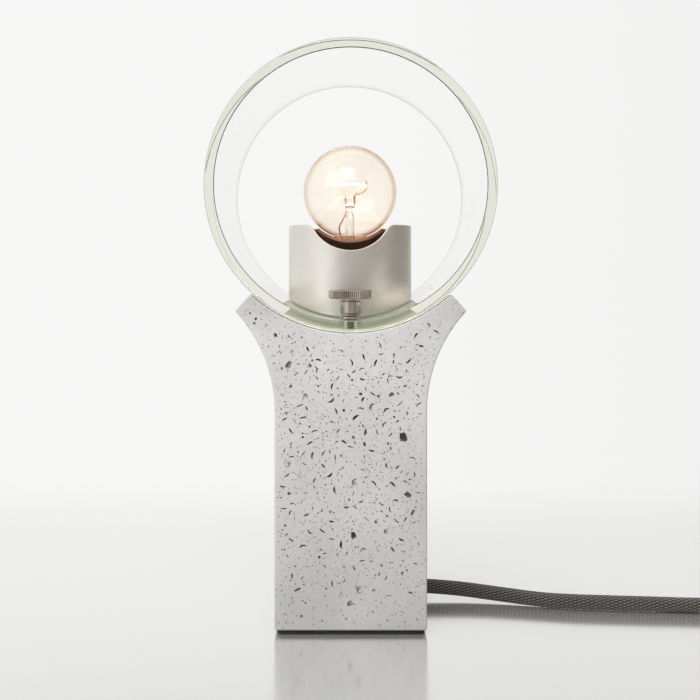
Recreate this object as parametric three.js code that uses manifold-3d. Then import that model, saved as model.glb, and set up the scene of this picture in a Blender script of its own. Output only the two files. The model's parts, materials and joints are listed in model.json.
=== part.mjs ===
// Table lamp with a clear glass tube shade on a cast concrete stand.
//
// Millimetres, +Z up. The origin is the bottom centre of the lamp, on the table.
// The front is -Y, the glass tube lies along Y, and the cord leaves towards +X.

import * as THREE from 'three';
import { mergeVertices } from 'three/addons/utils/BufferGeometryUtils.js';
import Module from 'manifold-3d';

const wasm = await Module();
wasm.setup();

// ---------------------------------------------------------------- driving sizes

const GAP = 0.3;                       // air left between two touching pieces
const FINE = 64;                       // sides of the large round pieces
const ROUND = 32;                      // sides of the middling round pieces
const SMALL = 18;                      // sides of the small round pieces

const GLASS = { r: 65, wall: 4.5, length: 120, axisZ: 199.5, rim: 0.9 };
const GLASS_IN = GLASS.r - GLASS.wall;
const FLOOR_Z = GLASS.axisZ - GLASS_IN;         // inside of the glass, at its lowest line

const PAD = { height: 2, inset: 1.2 };
const BODY = { halfWidth: 33.8, halfDepth: 59, chamfer: 1, flareZ: 99, flareR: 65 };
const CRADLE = { r: 66, halfAngle: THREE.MathUtils.degToRad(42.5) };
const LINER = { inner: 65.25, outer: 65.7, halfDepth: 57, halfAngle: THREE.MathUtils.degToRad(41.8) };
const CAVITY = { halfX: 22, halfY: 32, top: 30 };
const PLATE = { halfX: 27, halfY: 40, low: 2.3, high: 3.8, notchX: 19, notchY: 5.5, screwX: 18, screwY: 36 };
const GROOVE = { halfY: 4.4, top: 10.4 };

const TIE_ROD = { r: 4.9, bore: 3.7, low: 18, high: 150 };
const ROD_HOLE = 5.5;

const HOUSING = { r: 30, top: 183, notchR: 20, notchZ: 190.8, shoulderR: 5, flatX: 21.3, boreR: 18.3, seatZ: 145.5 };
const GASKET = { r: 25, inner: 59 };
const HOLDER = { r: 18, low: 150.3, top: 181.6, saddleR: 24.9, shellR: 8.8, mouthLow: 8.9, mouthHigh: 17.2 };
const SHELL = { inner: 7.1, outer: 8.4, low: 156.3, high: 170.5 };

const BULB = { globeR: 22.9, lowest: -THREE.MathUtils.degToRad(70), capR: 6.7, capLow: 156, capHigh: 173, wall: 0.7 };
const NECK = [[6.9, 173.4], [7.4, 174.3]];      // (radius, height) from the cap up to the globe
const STEM = { r: 2.2, bore: 1.5, low: 174.6, neck: 191.6, pressZ: 197.4, pressHalf: 3 };
const COIL_WIRE = { r: 7.6, z: 203, thick: 0.6, openDegrees: 80 };
const SCREW = {
  y: -42, headR: 10, headLow: 148.4, headHigh: 152.5, collarR: 4.8, collarLow: 141.7, shankR: 2.45, tip: 121, teeth: 44,
};
const WASHER = { r: 5.2, hole: 2.9, top: 140.5, captiveR: 4.9, captiveHole: 2.75, captiveLow: 140.8, captiveHigh: 141.4 };
const INSERT = { r: 3.6, bore: 2.6, low: 117, high: 132.6 };

const CORD = { r: 3.5, sides: 10, exitZ: 6 };
const SWITCH = { x0: 224, x1: 286, y: -28, z: 8.6, halfY: 14, split: 9.2, top: 18.6 };
const ROCKER = { pivotZ: 13.2, half: 9, halfY: 6, tilt: THREE.MathUtils.degToRad(8), slotX: 10.4, slotY: 6.4 };
const COIL = { x: 358, y: 10.9, inner: 28, outer: 42.6, low: 1.2, high: 30.2 };
const TIE = { halfY: 4, thick: 0.8, slack: 0.3 };
const PLUG = { x0: 213, x1: 251, y: 42.5, z: 8, halfY: 13, halfZ: 7.6, pinR: 2, pinLength: 19, pinSpread: 9.5 };
const RELIEF = { length: 22, wideR: 5.6, thinR: 4.5, plugged: 6.5 };

// ---------------------------------------------------------------- materials

function material(color, roughness, metalness = 0) {
  return new THREE.MeshStandardMaterial({ color, roughness, metalness });
}

const MATERIALS = {
  concrete: material(0xa9a8a6, 0.9),
  foot: material(0x17171a, 0.85),
  glass: new THREE.MeshStandardMaterial({ color: 0xf3f7f2, roughness: 0.03, transparent: true, opacity: 0.35 }),
  silicone: material(0xd9cfc2, 0.6),
  housing: material(0xc9c6c1, 0.38, 1),
  phenolic: material(0x2a1710, 0.35),
  nickel: material(0xcfccc6, 0.16, 1),
  brass: material(0xb58a3c, 0.3, 1),
  steel: material(0x9d9fa2, 0.4, 1),
  rubber: material(0x1c1c1e, 0.8),
  stem: new THREE.MeshStandardMaterial({ color: 0xfff4e0, roughness: 0.05, transparent: true, opacity: 0.4 }),
  wire: material(0xb4633a, 0.4, 1),
  filament: new THREE.MeshStandardMaterial({ color: 0xffd9a0, emissive: 0xffc070, roughness: 0.6 }),
  porcelain: material(0xe9e4d8, 0.3),
  braid: material(0x3d3a37, 0.9),
  plastic: material(0x1d1c1c, 0.45),
};

// ---------------------------------------------------------------- solids

// A three.js geometry as a manifold solid: vertices shared, slivers dropped, faces turned out.
function solid(geometry) {
  geometry.deleteAttribute('normal');
  geometry.deleteAttribute('uv');
  const merged = mergeVertices(geometry, 1e-4);
  const places = merged.attributes.position.array;
  const index = merged.index.array;
  const kept = [];
  const a = new THREE.Vector3();
  const b = new THREE.Vector3();
  const c = new THREE.Vector3();
  let volume = 0;
  for (let i = 0; i < index.length; i += 3) {
    const [p, q, r] = [index[i], index[i + 1], index[i + 2]];
    if (p === q || q === r || r === p) continue;
    a.fromArray(places, p * 3);
    b.fromArray(places, q * 3);
    c.fromArray(places, r * 3);
    volume += a.dot(b.cross(c));
    kept.push(p, q, r);
  }
  if (volume < 0) {
    for (let i = 0; i < kept.length; i += 3) {
      [kept[i + 1], kept[i + 2]] = [kept[i + 2], kept[i + 1]];
    }
  }
  const mesh = new wasm.Mesh({
    numProp: 3,
    vertProperties: new Float32Array(places),
    triVerts: new Uint32Array(kept),
  });
  return new wasm.Manifold(mesh);
}

function geometryOf(manifold) {
  const mesh = manifold.getMesh();
  const geometry = new THREE.BufferGeometry();
  geometry.setAttribute('position', new THREE.BufferAttribute(mesh.vertProperties, 3));
  geometry.setIndex(new THREE.BufferAttribute(mesh.triVerts, 1));
  geometry.computeVertexNormals();
  return geometry;
}

function box(x0, x1, y0, y1, z0, z1) {
  const geometry = new THREE.BoxGeometry(x1 - x0, y1 - y0, z1 - z0);
  return solid(geometry.translate((x0 + x1) / 2, (y0 + y1) / 2, (z0 + z1) / 2));
}

// Upright cylinder, or a cone frustum when the top radius differs.
function upright(r, z0, z1, sides, x = 0, y = 0, topR = r) {
  const geometry = new THREE.CylinderGeometry(topR, r, z1 - z0, sides);
  return solid(geometry.rotateX(Math.PI / 2).translate(x, y, (z0 + z1) / 2));
}

// Cylinder along Y, such as the space that the glass tube fills.
function along(r, halfLength, sides, x, z) {
  return solid(new THREE.CylinderGeometry(r, r, 2 * halfLength, sides).translate(x, 0, z));
}

// Cylinder along X, or a cone frustum when its radius at x1 differs.
function across(r, x0, x1, sides, y, z, farR = r) {
  const geometry = new THREE.CylinderGeometry(r, farR, x1 - x0, sides);
  return solid(geometry.rotateZ(Math.PI / 2).translate((x0 + x1) / 2, y, z));
}

// A profile of [radius, height] points turned about an upright axis.
function turned(profile, sides, x = 0, y = 0) {
  const points = profile.map(([r, h]) => new THREE.Vector2(r, h));
  return solid(new THREE.LatheGeometry(points, sides).rotateX(Math.PI / 2).translate(x, y, 0));
}

// A shape drawn in the X-Z plane, pushed along Y between two faces.
function pushed(shape, y0, y1, options = {}) {
  const settings = { depth: y1 - y0, bevelEnabled: false, curveSegments: 12, ...options };
  return solid(new THREE.ExtrudeGeometry(shape, settings).rotateX(Math.PI / 2).translate(0, y1, 0));
}

// A round-sided slab: a rectangle with rounded corners in plan, between two heights.
function slab(halfX, halfY, corner, z0, z1, x = 0, y = 0) {
  const shape = new THREE.Shape();
  shape.moveTo(-halfX + corner, -halfY);
  shape.absarc(halfX - corner, -halfY + corner, corner, -Math.PI / 2, 0, false);
  shape.absarc(halfX - corner, halfY - corner, corner, 0, Math.PI / 2, false);
  shape.absarc(-halfX + corner, halfY - corner, corner, Math.PI / 2, Math.PI, false);
  shape.absarc(-halfX + corner, -halfY + corner, corner, Math.PI, 1.5 * Math.PI, false);
  const settings = { depth: z1 - z0, bevelEnabled: false, curveSegments: 4 };
  return solid(new THREE.ExtrudeGeometry(shape, settings).translate(x, y, z0));
}

// A round cord, cable or wire along hand-chosen points.
function tube(points, r, sides, steps) {
  const path = new THREE.CatmullRomCurve3(points.map((p) => new THREE.Vector3(...p)), false, 'centripetal');
  const section = new THREE.Shape();
  section.absarc(0, 0, r, 0, 2 * Math.PI, false);
  const settings = { steps, curveSegments: sides / 2, extrudePath: path, bevelEnabled: false };
  return solid(new THREE.ExtrudeGeometry(section, settings));
}

const lamp = new THREE.Group();

function add(name, manifold, materialName) {
  const mesh = new THREE.Mesh(geometryOf(manifold), MATERIALS[materialName]);
  mesh.name = name;
  lamp.add(mesh);
}

// ---------------------------------------------------------------- stand

// Where the radial end face of the cradle meets the flare of the stand.
function flareCorner() {
  const s = Math.sin(CRADLE.halfAngle);
  const c = Math.cos(CRADLE.halfAngle);
  const centreX = BODY.halfWidth + BODY.flareR;
  const drop = GLASS.axisZ - BODY.flareZ;
  const half = s * centreX + c * drop;
  const far = centreX ** 2 + drop ** 2 - BODY.flareR ** 2;
  const reach = half - Math.sqrt(half ** 2 - far);
  return { x: reach * s, z: GLASS.axisZ - reach * c, centreX };
}

// Front outline of the stand: a straight column that flares into a cradle for the tube.
function standOutline() {
  const corner = flareCorner();
  const flareAngle = Math.atan2(corner.z - BODY.flareZ, corner.centreX - corner.x);
  const cradleEnd = CRADLE.halfAngle - Math.PI / 2;
  const outline = new THREE.Shape();
  outline.moveTo(-BODY.halfWidth, PAD.height);
  outline.lineTo(BODY.halfWidth, PAD.height);
  outline.absarc(corner.centreX, BODY.flareZ, BODY.flareR, Math.PI, Math.PI - flareAngle, true);
  outline.absarc(0, GLASS.axisZ, CRADLE.r, cradleEnd, -Math.PI - cradleEnd, true);
  outline.absarc(-corner.centreX, BODY.flareZ, BODY.flareR, flareAngle, 0, true);
  outline.closePath();
  return outline;
}

const COVER_SCREWS = [[-1, -1], [1, -1], [-1, 1], [1, 1]].map(([sx, sy]) => [sx * PLATE.screwX, sy * PLATE.screwY]);

function concreteBody() {
  const bevel = {
    depth: 2 * (BODY.halfDepth - BODY.chamfer),
    bevelEnabled: true,
    bevelThickness: BODY.chamfer,
    bevelSize: BODY.chamfer,
    bevelOffset: -BODY.chamfer,
    bevelSegments: 1,
  };
  let body = pushed(standOutline(), -BODY.halfDepth + BODY.chamfer, BODY.halfDepth - BODY.chamfer, bevel);
  body = body.subtract(box(-CAVITY.halfX, CAVITY.halfX, -CAVITY.halfY, CAVITY.halfY, 0, CAVITY.top));
  body = body.subtract(slab(PLATE.halfX + GAP, PLATE.halfY + GAP, 2, 0, PLATE.high + GAP));
  body = body.subtract(box(0, BODY.halfWidth + 1, -GROOVE.halfY, GROOVE.halfY, 0, GROOVE.top));
  body = body.subtract(upright(ROD_HOLE, CAVITY.top - 1, GLASS.axisZ, SMALL));
  body = body.subtract(upright(INSERT.r + GAP, INSERT.low - GAP, GLASS.axisZ, SMALL, 0, SCREW.y));
  for (const [x, y] of COVER_SCREWS) {
    body = body.subtract(upright(2.6, 0, 13, 12, x, y));
  }
  return body;
}

function coverPlate() {
  let plate = slab(PLATE.halfX, PLATE.halfY, 2, PLATE.low, PLATE.high);
  plate = plate.subtract(box(PLATE.notchX, PLATE.halfX + 1, -PLATE.notchY, PLATE.notchY, 0, CAVITY.top));
  for (const [x, y] of COVER_SCREWS) {
    plate = plate.subtract(upright(3.8, PLATE.low - 0.5, PLATE.high + 0.5, 12, x, y, 1.6));
  }
  return plate;
}

// Countersunk slotted screw, flush with the plate's underside.
function coverScrew(x, y) {
  const head = turned([[0, 2.4], [2.7, 2.4], [2.7, 2.6], [1.3, 3.9], [1.3, 11], [0, 11.8]], 12, x, y);
  return head.subtract(box(x - 4, x + 4, y - 0.3, y + 0.3, 2, 2.9));
}

function ring(inner, outer, z0, z1, sides, x = 0, y = 0) {
  return turned([[inner, z0], [outer, z0], [outer, z1], [inner, z1], [inner, z0]], sides, x, y);
}

function hexNut(acrossFlats, bore, z0, z1) {
  const corner = acrossFlats / Math.sqrt(3);
  return upright(corner, z0, z1, 6).subtract(upright(bore, z0 - 1, z1 + 1, SMALL));
}

function addStand() {
  const padX = BODY.halfWidth - PAD.inset;
  const padY = BODY.halfDepth - PAD.inset;
  add('base_pad', slab(padX, padY, 2, 0, PAD.height - 0.05), 'foot');
  add('concrete_body', concreteBody(), 'concrete');
  add('cover_plate', coverPlate(), 'steel');
  COVER_SCREWS.forEach(([x, y], i) => {
    add(`cover_screw_${i + 1}`, coverScrew(x, y), 'steel');
    add(`cover_insert_${i + 1}`, ring(1.6, 2.3, 4.3, 12.6, 12, x, y), 'brass');
  });
  add('tie_rod', ring(TIE_ROD.bore, TIE_ROD.r, TIE_ROD.low, TIE_ROD.high, SMALL), 'steel');
  add('rod_washer', ring(5.3, 11, CAVITY.top - 1.8, CAVITY.top - GAP, SMALL), 'steel');
  add('rod_nut_lower', hexNut(14, 5.2, CAVITY.top - 7, CAVITY.top - 2.1), 'brass');
  add('screw_insert', ring(INSERT.bore, INSERT.r, INSERT.low, INSERT.high, SMALL, 0, SCREW.y), 'brass');
}

// ---------------------------------------------------------------- glass tube

// Thin strip between the glass and the concrete, cut round the rod and the screw.
function liner() {
  const end = LINER.halfAngle - Math.PI / 2;
  const strip = new THREE.Shape();
  strip.absarc(0, GLASS.axisZ, LINER.outer, end, -Math.PI - end, true);
  strip.absarc(0, GLASS.axisZ, LINER.inner, -Math.PI - end, end, false);
  const sheet = pushed(strip, -LINER.halfDepth, LINER.halfDepth);
  const rodHole = upright(ROD_HOLE + 0.5, 100, GLASS.axisZ, SMALL);
  const screwHole = upright(INSERT.r + 0.5, 100, GLASS.axisZ, SMALL, 0, SCREW.y);
  return sheet.subtract(rodHole).subtract(screwHole);
}

function glassShade() {
  const half = GLASS.length / 2;
  const inner = GLASS_IN;
  const rim = GLASS.rim;
  const outline = [
    [inner, -half + rim], [inner + rim, -half], [GLASS.r - rim, -half], [GLASS.r, -half + rim],
    [GLASS.r, half - rim], [GLASS.r - rim, half], [inner + rim, half], [inner, half - rim],
    [inner, -half + rim],
  ];
  const points = outline.map(([r, y]) => new THREE.Vector2(r, y));
  const shell = solid(new THREE.LatheGeometry(points, FINE).translate(0, 0, GLASS.axisZ));
  const rodHole = upright(ROD_HOLE, 100, FLOOR_Z + 20, SMALL);
  const screwHole = upright(3, 100, FLOOR_Z + 20, SMALL, 0, SCREW.y);
  return shell.subtract(rodHole).subtract(screwHole);
}

function addGlass() {
  add('cradle_liner', liner(), 'silicone');
  add('glass_shade', glassShade(), 'glass');
}

// ---------------------------------------------------------------- housing and lampholder

// The rounded notch across the top of the housing, open upwards.
function notchOutline() {
  const { notchR, notchZ, shoulderR, flatX, top } = HOUSING;
  const shoulderZ = top - shoulderR;
  const rise = notchZ - shoulderZ;
  const spread = Math.hypot(flatX, rise);
  const lean = Math.atan2(rise, flatX);
  const inner = Math.acos((spread ** 2 + shoulderR ** 2 - notchR ** 2) / (2 * spread * shoulderR));
  const meet = Math.PI - lean - Math.max(inner, 0);
  const x = flatX + shoulderR * Math.cos(meet);
  const z = shoulderZ + shoulderR * Math.sin(meet);
  const notchEnd = Math.atan2(z - notchZ, x);
  const cut = new THREE.Shape();
  cut.moveTo(flatX, top + 10);
  cut.lineTo(flatX, top);
  cut.absarc(flatX, shoulderZ, shoulderR, Math.PI / 2, meet, false);
  cut.absarc(0, notchZ, notchR, notchEnd, -Math.PI - notchEnd, true);
  cut.absarc(-flatX, shoulderZ, shoulderR, Math.PI - meet, Math.PI / 2, false);
  cut.lineTo(-flatX, top + 10);
  cut.closePath();
  return cut;
}

function housing() {
  const { r, top, boreR, seatZ } = HOUSING;
  let body = turned([[0, 130], [r, 130], [r, top - 0.5], [r - 0.5, top], [0, top]], FINE);
  body = body.intersect(along(GLASS_IN - GAP, GLASS.length / 2, FINE, 0, GLASS.axisZ));
  const pocket = upright(GASKET.r, 120, GLASS.axisZ, ROUND);
  body = body.subtract(pocket.subtract(along(GASKET.inner, GLASS.length / 2, FINE, 0, GLASS.axisZ)));
  body = body.subtract(pushed(notchOutline(), -r - 1, r + 1, { curveSegments: 8 }));
  body = body.subtract(upright(boreR, seatZ, top + 1, ROUND));
  return body.subtract(upright(ROD_HOLE, 120, seatZ + 1, SMALL));
}

function gasket() {
  const outside = along(GLASS_IN - GAP, GASKET.r + 1, FINE, 0, GLASS.axisZ);
  const inside = along(GASKET.inner + GAP, GASKET.r + 2, FINE, 0, GLASS.axisZ);
  const disc = upright(GASKET.r - GAP, 120, GLASS.axisZ - 40, ROUND);
  const hole = upright(ROD_HOLE + 0.4, 110, GLASS.axisZ, SMALL);
  return disc.intersect(outside).subtract(inside).subtract(hole);
}

// Dark moulded lampholder: its upper edge follows the globe of the bulb.
function lampholder() {
  const { r, low, top, saddleR, shellR, mouthLow, mouthHigh } = HOLDER;
  let body = turned([[0, low], [r - 0.6, low], [r, low + 0.6], [r, top], [0, top]], ROUND);
  body = body.subtract(along(saddleR, r + 2, FINE, 0, GLASS.axisZ));
  body = body.subtract(upright(shellR, low + 3.7, top, ROUND));
  body = body.subtract(upright(mouthLow, 170.9, top + 0.5, ROUND, 0, 0, mouthHigh));
  return body.subtract(box(-5.5, 5.5, -2.8, 2.8, low - 1, low + 5));
}

function addHousing() {
  add('housing_gasket', gasket(), 'rubber');
  add('housing', housing(), 'housing');
  add('rod_nut_upper', hexNut(14, 5.2, HOUSING.seatZ + GAP, HOUSING.seatZ + 4.3), 'brass');
  add('lampholder', lampholder(), 'phenolic');
  add('screw_shell', ring(SHELL.inner, SHELL.outer, SHELL.low, SHELL.high, ROUND), 'brass');
  add('contact_blade', box(-1.6, 4.6, -1.4, 1.4, 150.7, 151.5), 'brass');
}

// ---------------------------------------------------------------- bulb

// Clear globe with a neck, open below where the cap holds it.
function bulbGlass() {
  const r = BULB.globeR;
  const outer = [];
  const inner = [];
  const steps = 10;
  for (let i = 0; i <= steps; i += 1) {
    const t = THREE.MathUtils.lerp(BULB.lowest, Math.PI / 2, i / steps);
    for (const [profile, radius] of [[outer, r], [inner, r - BULB.wall]]) {
      profile.push([i === steps ? 0 : radius * Math.cos(t), GLASS.axisZ + radius * Math.sin(t)]);
    }
  }
  const neckInner = NECK.map(([x, z]) => [x - BULB.wall, z]);
  return turned([...NECK, ...outer, ...inner.reverse(), ...neckInner.reverse(), NECK[0]], ROUND - 4);
}

// Hollow glass stem, pressed flat at its top where the support wires leave it.
function bulbStem() {
  const { r, bore, low, neck, pressZ, pressHalf } = STEM;
  const pipe = ring(bore, r, low, neck, SMALL);
  const press = new THREE.Shape();
  press.moveTo(-r, neck - 0.2);
  press.lineTo(r, neck - 0.2);
  press.lineTo(pressHalf, pressZ);
  press.lineTo(-pressHalf, pressZ);
  press.closePath();
  return pipe.add(pushed(press, -0.8, 0.8));
}

// Support wire from the press to one end of the filament.
function supportWire(side) {
  const half = THREE.MathUtils.degToRad(COIL_WIRE.openDegrees / 2);
  const endX = side * COIL_WIRE.r * Math.sin(half);
  const endY = COIL_WIRE.r * Math.cos(half);
  const points = [
    [side * 2.2, 0, STEM.pressZ + 0.5], [side * 2.6, 0.6, 199.4], [endX * 0.8, endY * 0.6, 201],
    [endX, endY, COIL_WIRE.z - 1.1],
  ];
  return tube(points, 0.35, 8, 8);
}

// The glowing wire: an arc in a level plane, open at the back between the two supports.
function filament() {
  const { r, z, thick, openDegrees } = COIL_WIRE;
  const points = [];
  const first = 90 + openDegrees / 2;
  const last = 450 - openDegrees / 2;
  for (let i = 0; i <= 12; i += 1) {
    const t = THREE.MathUtils.degToRad(THREE.MathUtils.lerp(first, last, i / 12));
    points.push([r * Math.cos(t), r * Math.sin(t), z]);
  }
  return tube(points, thick, 8, 20);
}

function addBulb() {
  const { capR, capLow, capHigh } = BULB;
  add('bulb_glass', bulbGlass(), 'glass');
  add('bulb_cap', ring(capR - 0.5, capR, capLow, capHigh, ROUND), 'nickel');
  const seat = [[0, 154], [2.6, 154], [6.1, capLow - 0.4], [6.1, capLow + 1.2], [0, capLow + 1.2]];
  add('bulb_insulator', turned(seat, SMALL), 'plastic');
  add('bulb_contact', turned([[0, 152.3], [1.8, 152.5], [2.3, 153.2], [2.3, 153.7], [0, 153.7]], SMALL), 'nickel');
  add('bulb_stem', bulbStem(), 'stem');
  add('support_wire_1', supportWire(-1), 'wire');
  add('support_wire_2', supportWire(1), 'wire');
  add('filament', filament(), 'filament');
}

// ---------------------------------------------------------------- thumbscrew

// Straight-knurled head on a collar, with a threaded shank through the glass.
function thumbscrew() {
  const { headR, headLow, headHigh, collarR, collarLow, shankR, tip, teeth } = SCREW;
  const rim = new THREE.Shape();
  for (let i = 0; i < 2 * teeth; i += 1) {
    const r = i % 2 ? headR - 0.35 : headR;
    const t = (Math.PI * i) / teeth;
    const place = [r * Math.cos(t), r * Math.sin(t)];
    if (i === 0) rim.moveTo(...place);
    else rim.lineTo(...place);
  }
  rim.closePath();
  const knurl = new THREE.ExtrudeGeometry(rim, { depth: headHigh - headLow, bevelEnabled: false });
  const head = solid(knurl.translate(0, SCREW.y, headLow)).intersect(
    turned([[0, headLow], [headR - 0.5, headLow], [headR + 0.1, headLow + 0.6], [headR + 0.1, headHigh - 0.6],
      [headR - 0.5, headHigh], [0, headHigh]], ROUND, 0, SCREW.y),
  );
  const stalk = turned([[0, tip], [shankR - 0.5, tip], [shankR, tip + 0.6], [shankR, collarLow],
    [collarR, collarLow], [collarR, headLow + 0.5], [0, headLow + 0.5]], SMALL, 0, SCREW.y);
  return head.add(stalk);
}

// Flat on top, curved below to sit on the inside of the glass.
function saddleWasher() {
  const { r, hole, top } = WASHER;
  const below = top - 10;
  const bore = along(GLASS_IN - GAP, GLASS.length / 2, FINE, 0, GLASS.axisZ);
  const disc = upright(r, below, top, SMALL, 0, SCREW.y).intersect(bore);
  return disc.subtract(upright(hole, below - 1, top + 1, SMALL, 0, SCREW.y));
}

function addThumbscrew() {
  add('saddle_washer', saddleWasher(), 'nickel');
  const { captiveHole, captiveR, captiveLow, captiveHigh } = WASHER;
  add('captive_washer', ring(captiveHole, captiveR, captiveLow, captiveHigh, SMALL, 0, SCREW.y), 'nickel');
  add('thumbscrew', thumbscrew(), 'nickel');
}

// ---------------------------------------------------------------- wiring inside the stand

const TERMINAL = { x0: -17, x1: 3, y0: 12, y1: 24, z0: 4.1, z1: 18 };
const CLAMP = { x0: 12.5, x1: 18.5, halfY: 9, z0: 4.1, z1: 15, screwY: 6.2, holeR: 3.4, holeZ: 9 };
const CLAMP_SCREW = [[0, 4.4], [1.3, 4.4], [1.3, 15.3], [2.5, 15.3], [2.5, 17], [0, 17.2]];
const INNER_CABLE = [
  [27, 0, 6.3], [22.5, 0, 7], [17.5, 0, 8.8], [12, 0.4, 9.2], [8.5, 4, 9.8], [7.5, 10, 11], [7, 18, 12.6], [3.9, 18, 13],
];

function addWiring() {
  const bushing = box(27.5, BODY.halfWidth - 0.3, -GROOVE.halfY + GAP, GROOVE.halfY - GAP, 2.25, GROOVE.top - GAP);
  add('cord_bushing', bushing.subtract(across(CORD.r + GAP, 26, 35, SMALL, 0, CORD.exitZ + 0.15)), 'rubber');
  const clampX = (CLAMP.x0 + CLAMP.x1) / 2;
  const bar = box(CLAMP.x0, CLAMP.x1, -CLAMP.halfY, CLAMP.halfY, CLAMP.z0, CLAMP.z1);
  let clamp = bar.subtract(across(CLAMP.holeR, CLAMP.x0 - 1, CLAMP.x1 + 1, SMALL, 0, CLAMP.holeZ));
  for (const side of [-1, 1]) {
    const y = side * CLAMP.screwY;
    clamp = clamp.subtract(upright(1.6, CLAMP.z0 - 1, CLAMP.z1 + 1, 12, clampX, y));
    add(`clamp_screw_${side < 0 ? 1 : 2}`, turned(CLAMP_SCREW, 12, clampX, y), 'steel');
  }
  add('cord_clamp', clamp, 'plastic');
  const { x0, x1, y0, y1, z0, z1 } = TERMINAL;
  let block = box(x0, x1, y0, y1, z0, z1);
  for (const x of [x0 + 5, x1 - 5]) {
    block = block.subtract(upright(2.2, z1 - 3, z1 + 1, 12, x, (y0 + y1) / 2));
  }
  add('terminal_block', block, 'plastic');
  add('inner_cable', tube(INNER_CABLE, 2.7, 10, 24), 'rubber');
  for (const side of [-1, 1]) {
    const wire = [[side < 0 ? -12.5 : -1.6, 11.6, 13], [side < 0 ? -10 : -2, 7, 12.4], [side * 3, 2.6, 13],
      [side * 1.7, 0.4, 16.5], [side * 1.6, 0, 22], [side * 1.6, 0, 90], [side * 1.6, 0, 149]];
    add(`lead_wire_${side < 0 ? 1 : 2}`, tube(wire, 1, 8, 26), side < 0 ? 'phenolic' : 'porcelain');
  }
}

// ---------------------------------------------------------------- cord, switch and plug

// The route from the stand to the switch: out of the side, down to the table and along it.
const CORD_RUN_1 = [
  [28, 0, 6.1], [38.4, -0.3, 6], [54.3, -2.6, 5.3], [73.1, -8.6, 4.3], [91.3, -15.3, 3.65], [105, -18.6, 3.62],
  [118.9, -20.4, 3.62], [142, -22.8, 3.62], [165, -25, 3.65], [179, -26.5, 4.8], [192, -27.6, 7.9], [201.7, -28, 8.6],
];
const CORD_RUN_2 = [[308.3, -28, 8.6], [318, -28, 7.6], [330, -28, 5.5], [340, -28, 4.9], [348, -28, 4.9]];
const CORD_RUN_3 = [
  [358, 42.5, 26.5], [344, 42.5, 26.5], [331, 42.5, 26.1], [318, 42.5, 22.6], [301, 42.5, 14.2], [288, 42.5, 9.4],
  [273.6, 42.5, 8],
];

function cordRun(points, steps) {
  return tube(points, CORD.r, CORD.sides, steps);
}

// A slab with its upper or lower edge stepped in, which rounds it off.
function steppedSlab(halfX, halfY, steps, x, y) {
  const slabs = steps.map(([inset, z0, z1]) => slab(halfX - inset, halfY - inset, 7 - inset, z0, z1, x, y));
  return slabs.reduce((whole, part) => whole.add(part));
}

function withCordEntries(shell) {
  const { x0, x1, y, z } = SWITCH;
  const entries = [across(4.9, x0 - 2, x0 + 7, SMALL, y, z), across(4.9, x1 - 7, x1 + 2, SMALL, y, z)];
  return shell.subtract(entries[0]).subtract(entries[1]);
}

function switchBase() {
  const { x0, x1, y, halfY, split } = SWITCH;
  const steps = [[1.2, 0.05, 3], [0, 1, split]];
  return withCordEntries(steppedSlab((x1 - x0) / 2, halfY, steps, (x0 + x1) / 2, y));
}

function switchCover() {
  const { x0, x1, y, halfY, split, top } = SWITCH;
  const middle = (x0 + x1) / 2;
  const low = split + GAP;
  const steps = [[0, low, top - 3], [1.2, top - 4, top - 1.2], [3, top - 2, top]];
  const shell = withCordEntries(steppedSlab((x1 - x0) / 2, halfY, steps, middle, y));
  const { slotX, slotY } = ROCKER;
  return shell.subtract(box(middle - slotX, middle + slotX, y - slotY, y + slotY, low - 1, top + 1));
}

// Rocker with a shallow valley on top; it tips about a pin across the switch.
function rocker() {
  const { pivotZ, half, halfY, tilt } = ROCKER;
  const side = new THREE.Shape();
  side.moveTo(-half, 3);
  side.lineTo(-2.6, -2);
  side.lineTo(2.6, -2);
  side.lineTo(half, 3);
  side.lineTo(half, 6.5);
  side.lineTo(0, 5.8);
  side.lineTo(-half, 6.5);
  side.closePath();
  const degrees = THREE.MathUtils.radToDeg(tilt);
  const middle = (SWITCH.x0 + SWITCH.x1) / 2;
  return pushed(side, -halfY, halfY).rotate([0, degrees, 0]).translate([middle, SWITCH.y, pivotZ]);
}

// Tapered strain relief round the cord; side is the way that its thin end points along X.
function strainRelief(x, side, y, z, plugged) {
  const tip = x + side * RELIEF.length;
  const [x0, x1] = side > 0 ? [x, tip] : [tip, x];
  const [r0, r1] = side > 0 ? [RELIEF.wideR, RELIEF.thinR] : [RELIEF.thinR, RELIEF.wideR];
  const [p0, p1] = side > 0 ? [x - plugged, x + 1] : [x - 1, x + plugged];
  const cone = across(r0, x0, x1, SMALL, y, z, r1);
  const root = plugged > 0 ? cone.add(across(4.6, p0, p1, SMALL, y, z)) : cone;
  return root.subtract(across(CORD.r + GAP, p0 - 40, p1 + 40, SMALL, y, z));
}

function cordCoil() {
  const { x, y, inner, outer, low, high } = COIL;
  const c = 3;
  return turned([[inner + c, low], [outer - c, low], [outer, low + c], [outer, high - c], [outer - c, high],
    [inner + c, high], [inner, high - c], [inner, low + c], [inner + c, low]], ROUND, x, y);
}

// A band closed round the coil on its far side.
function cordTie() {
  const { x, y, inner, outer, low, high } = COIL;
  const { halfY, thick, slack } = TIE;
  const nearX = x + inner * Math.cos(Math.asin(halfY / inner)) - slack - 0.2;
  const farX = x + outer + slack;
  const hole = box(nearX, farX, y - halfY - 1, y + halfY + 1, low - slack, high + slack);
  const skin = box(nearX - thick, farX + thick, y - halfY, y + halfY, low - slack - thick, high + slack + thick);
  return skin.subtract(hole);
}

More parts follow.
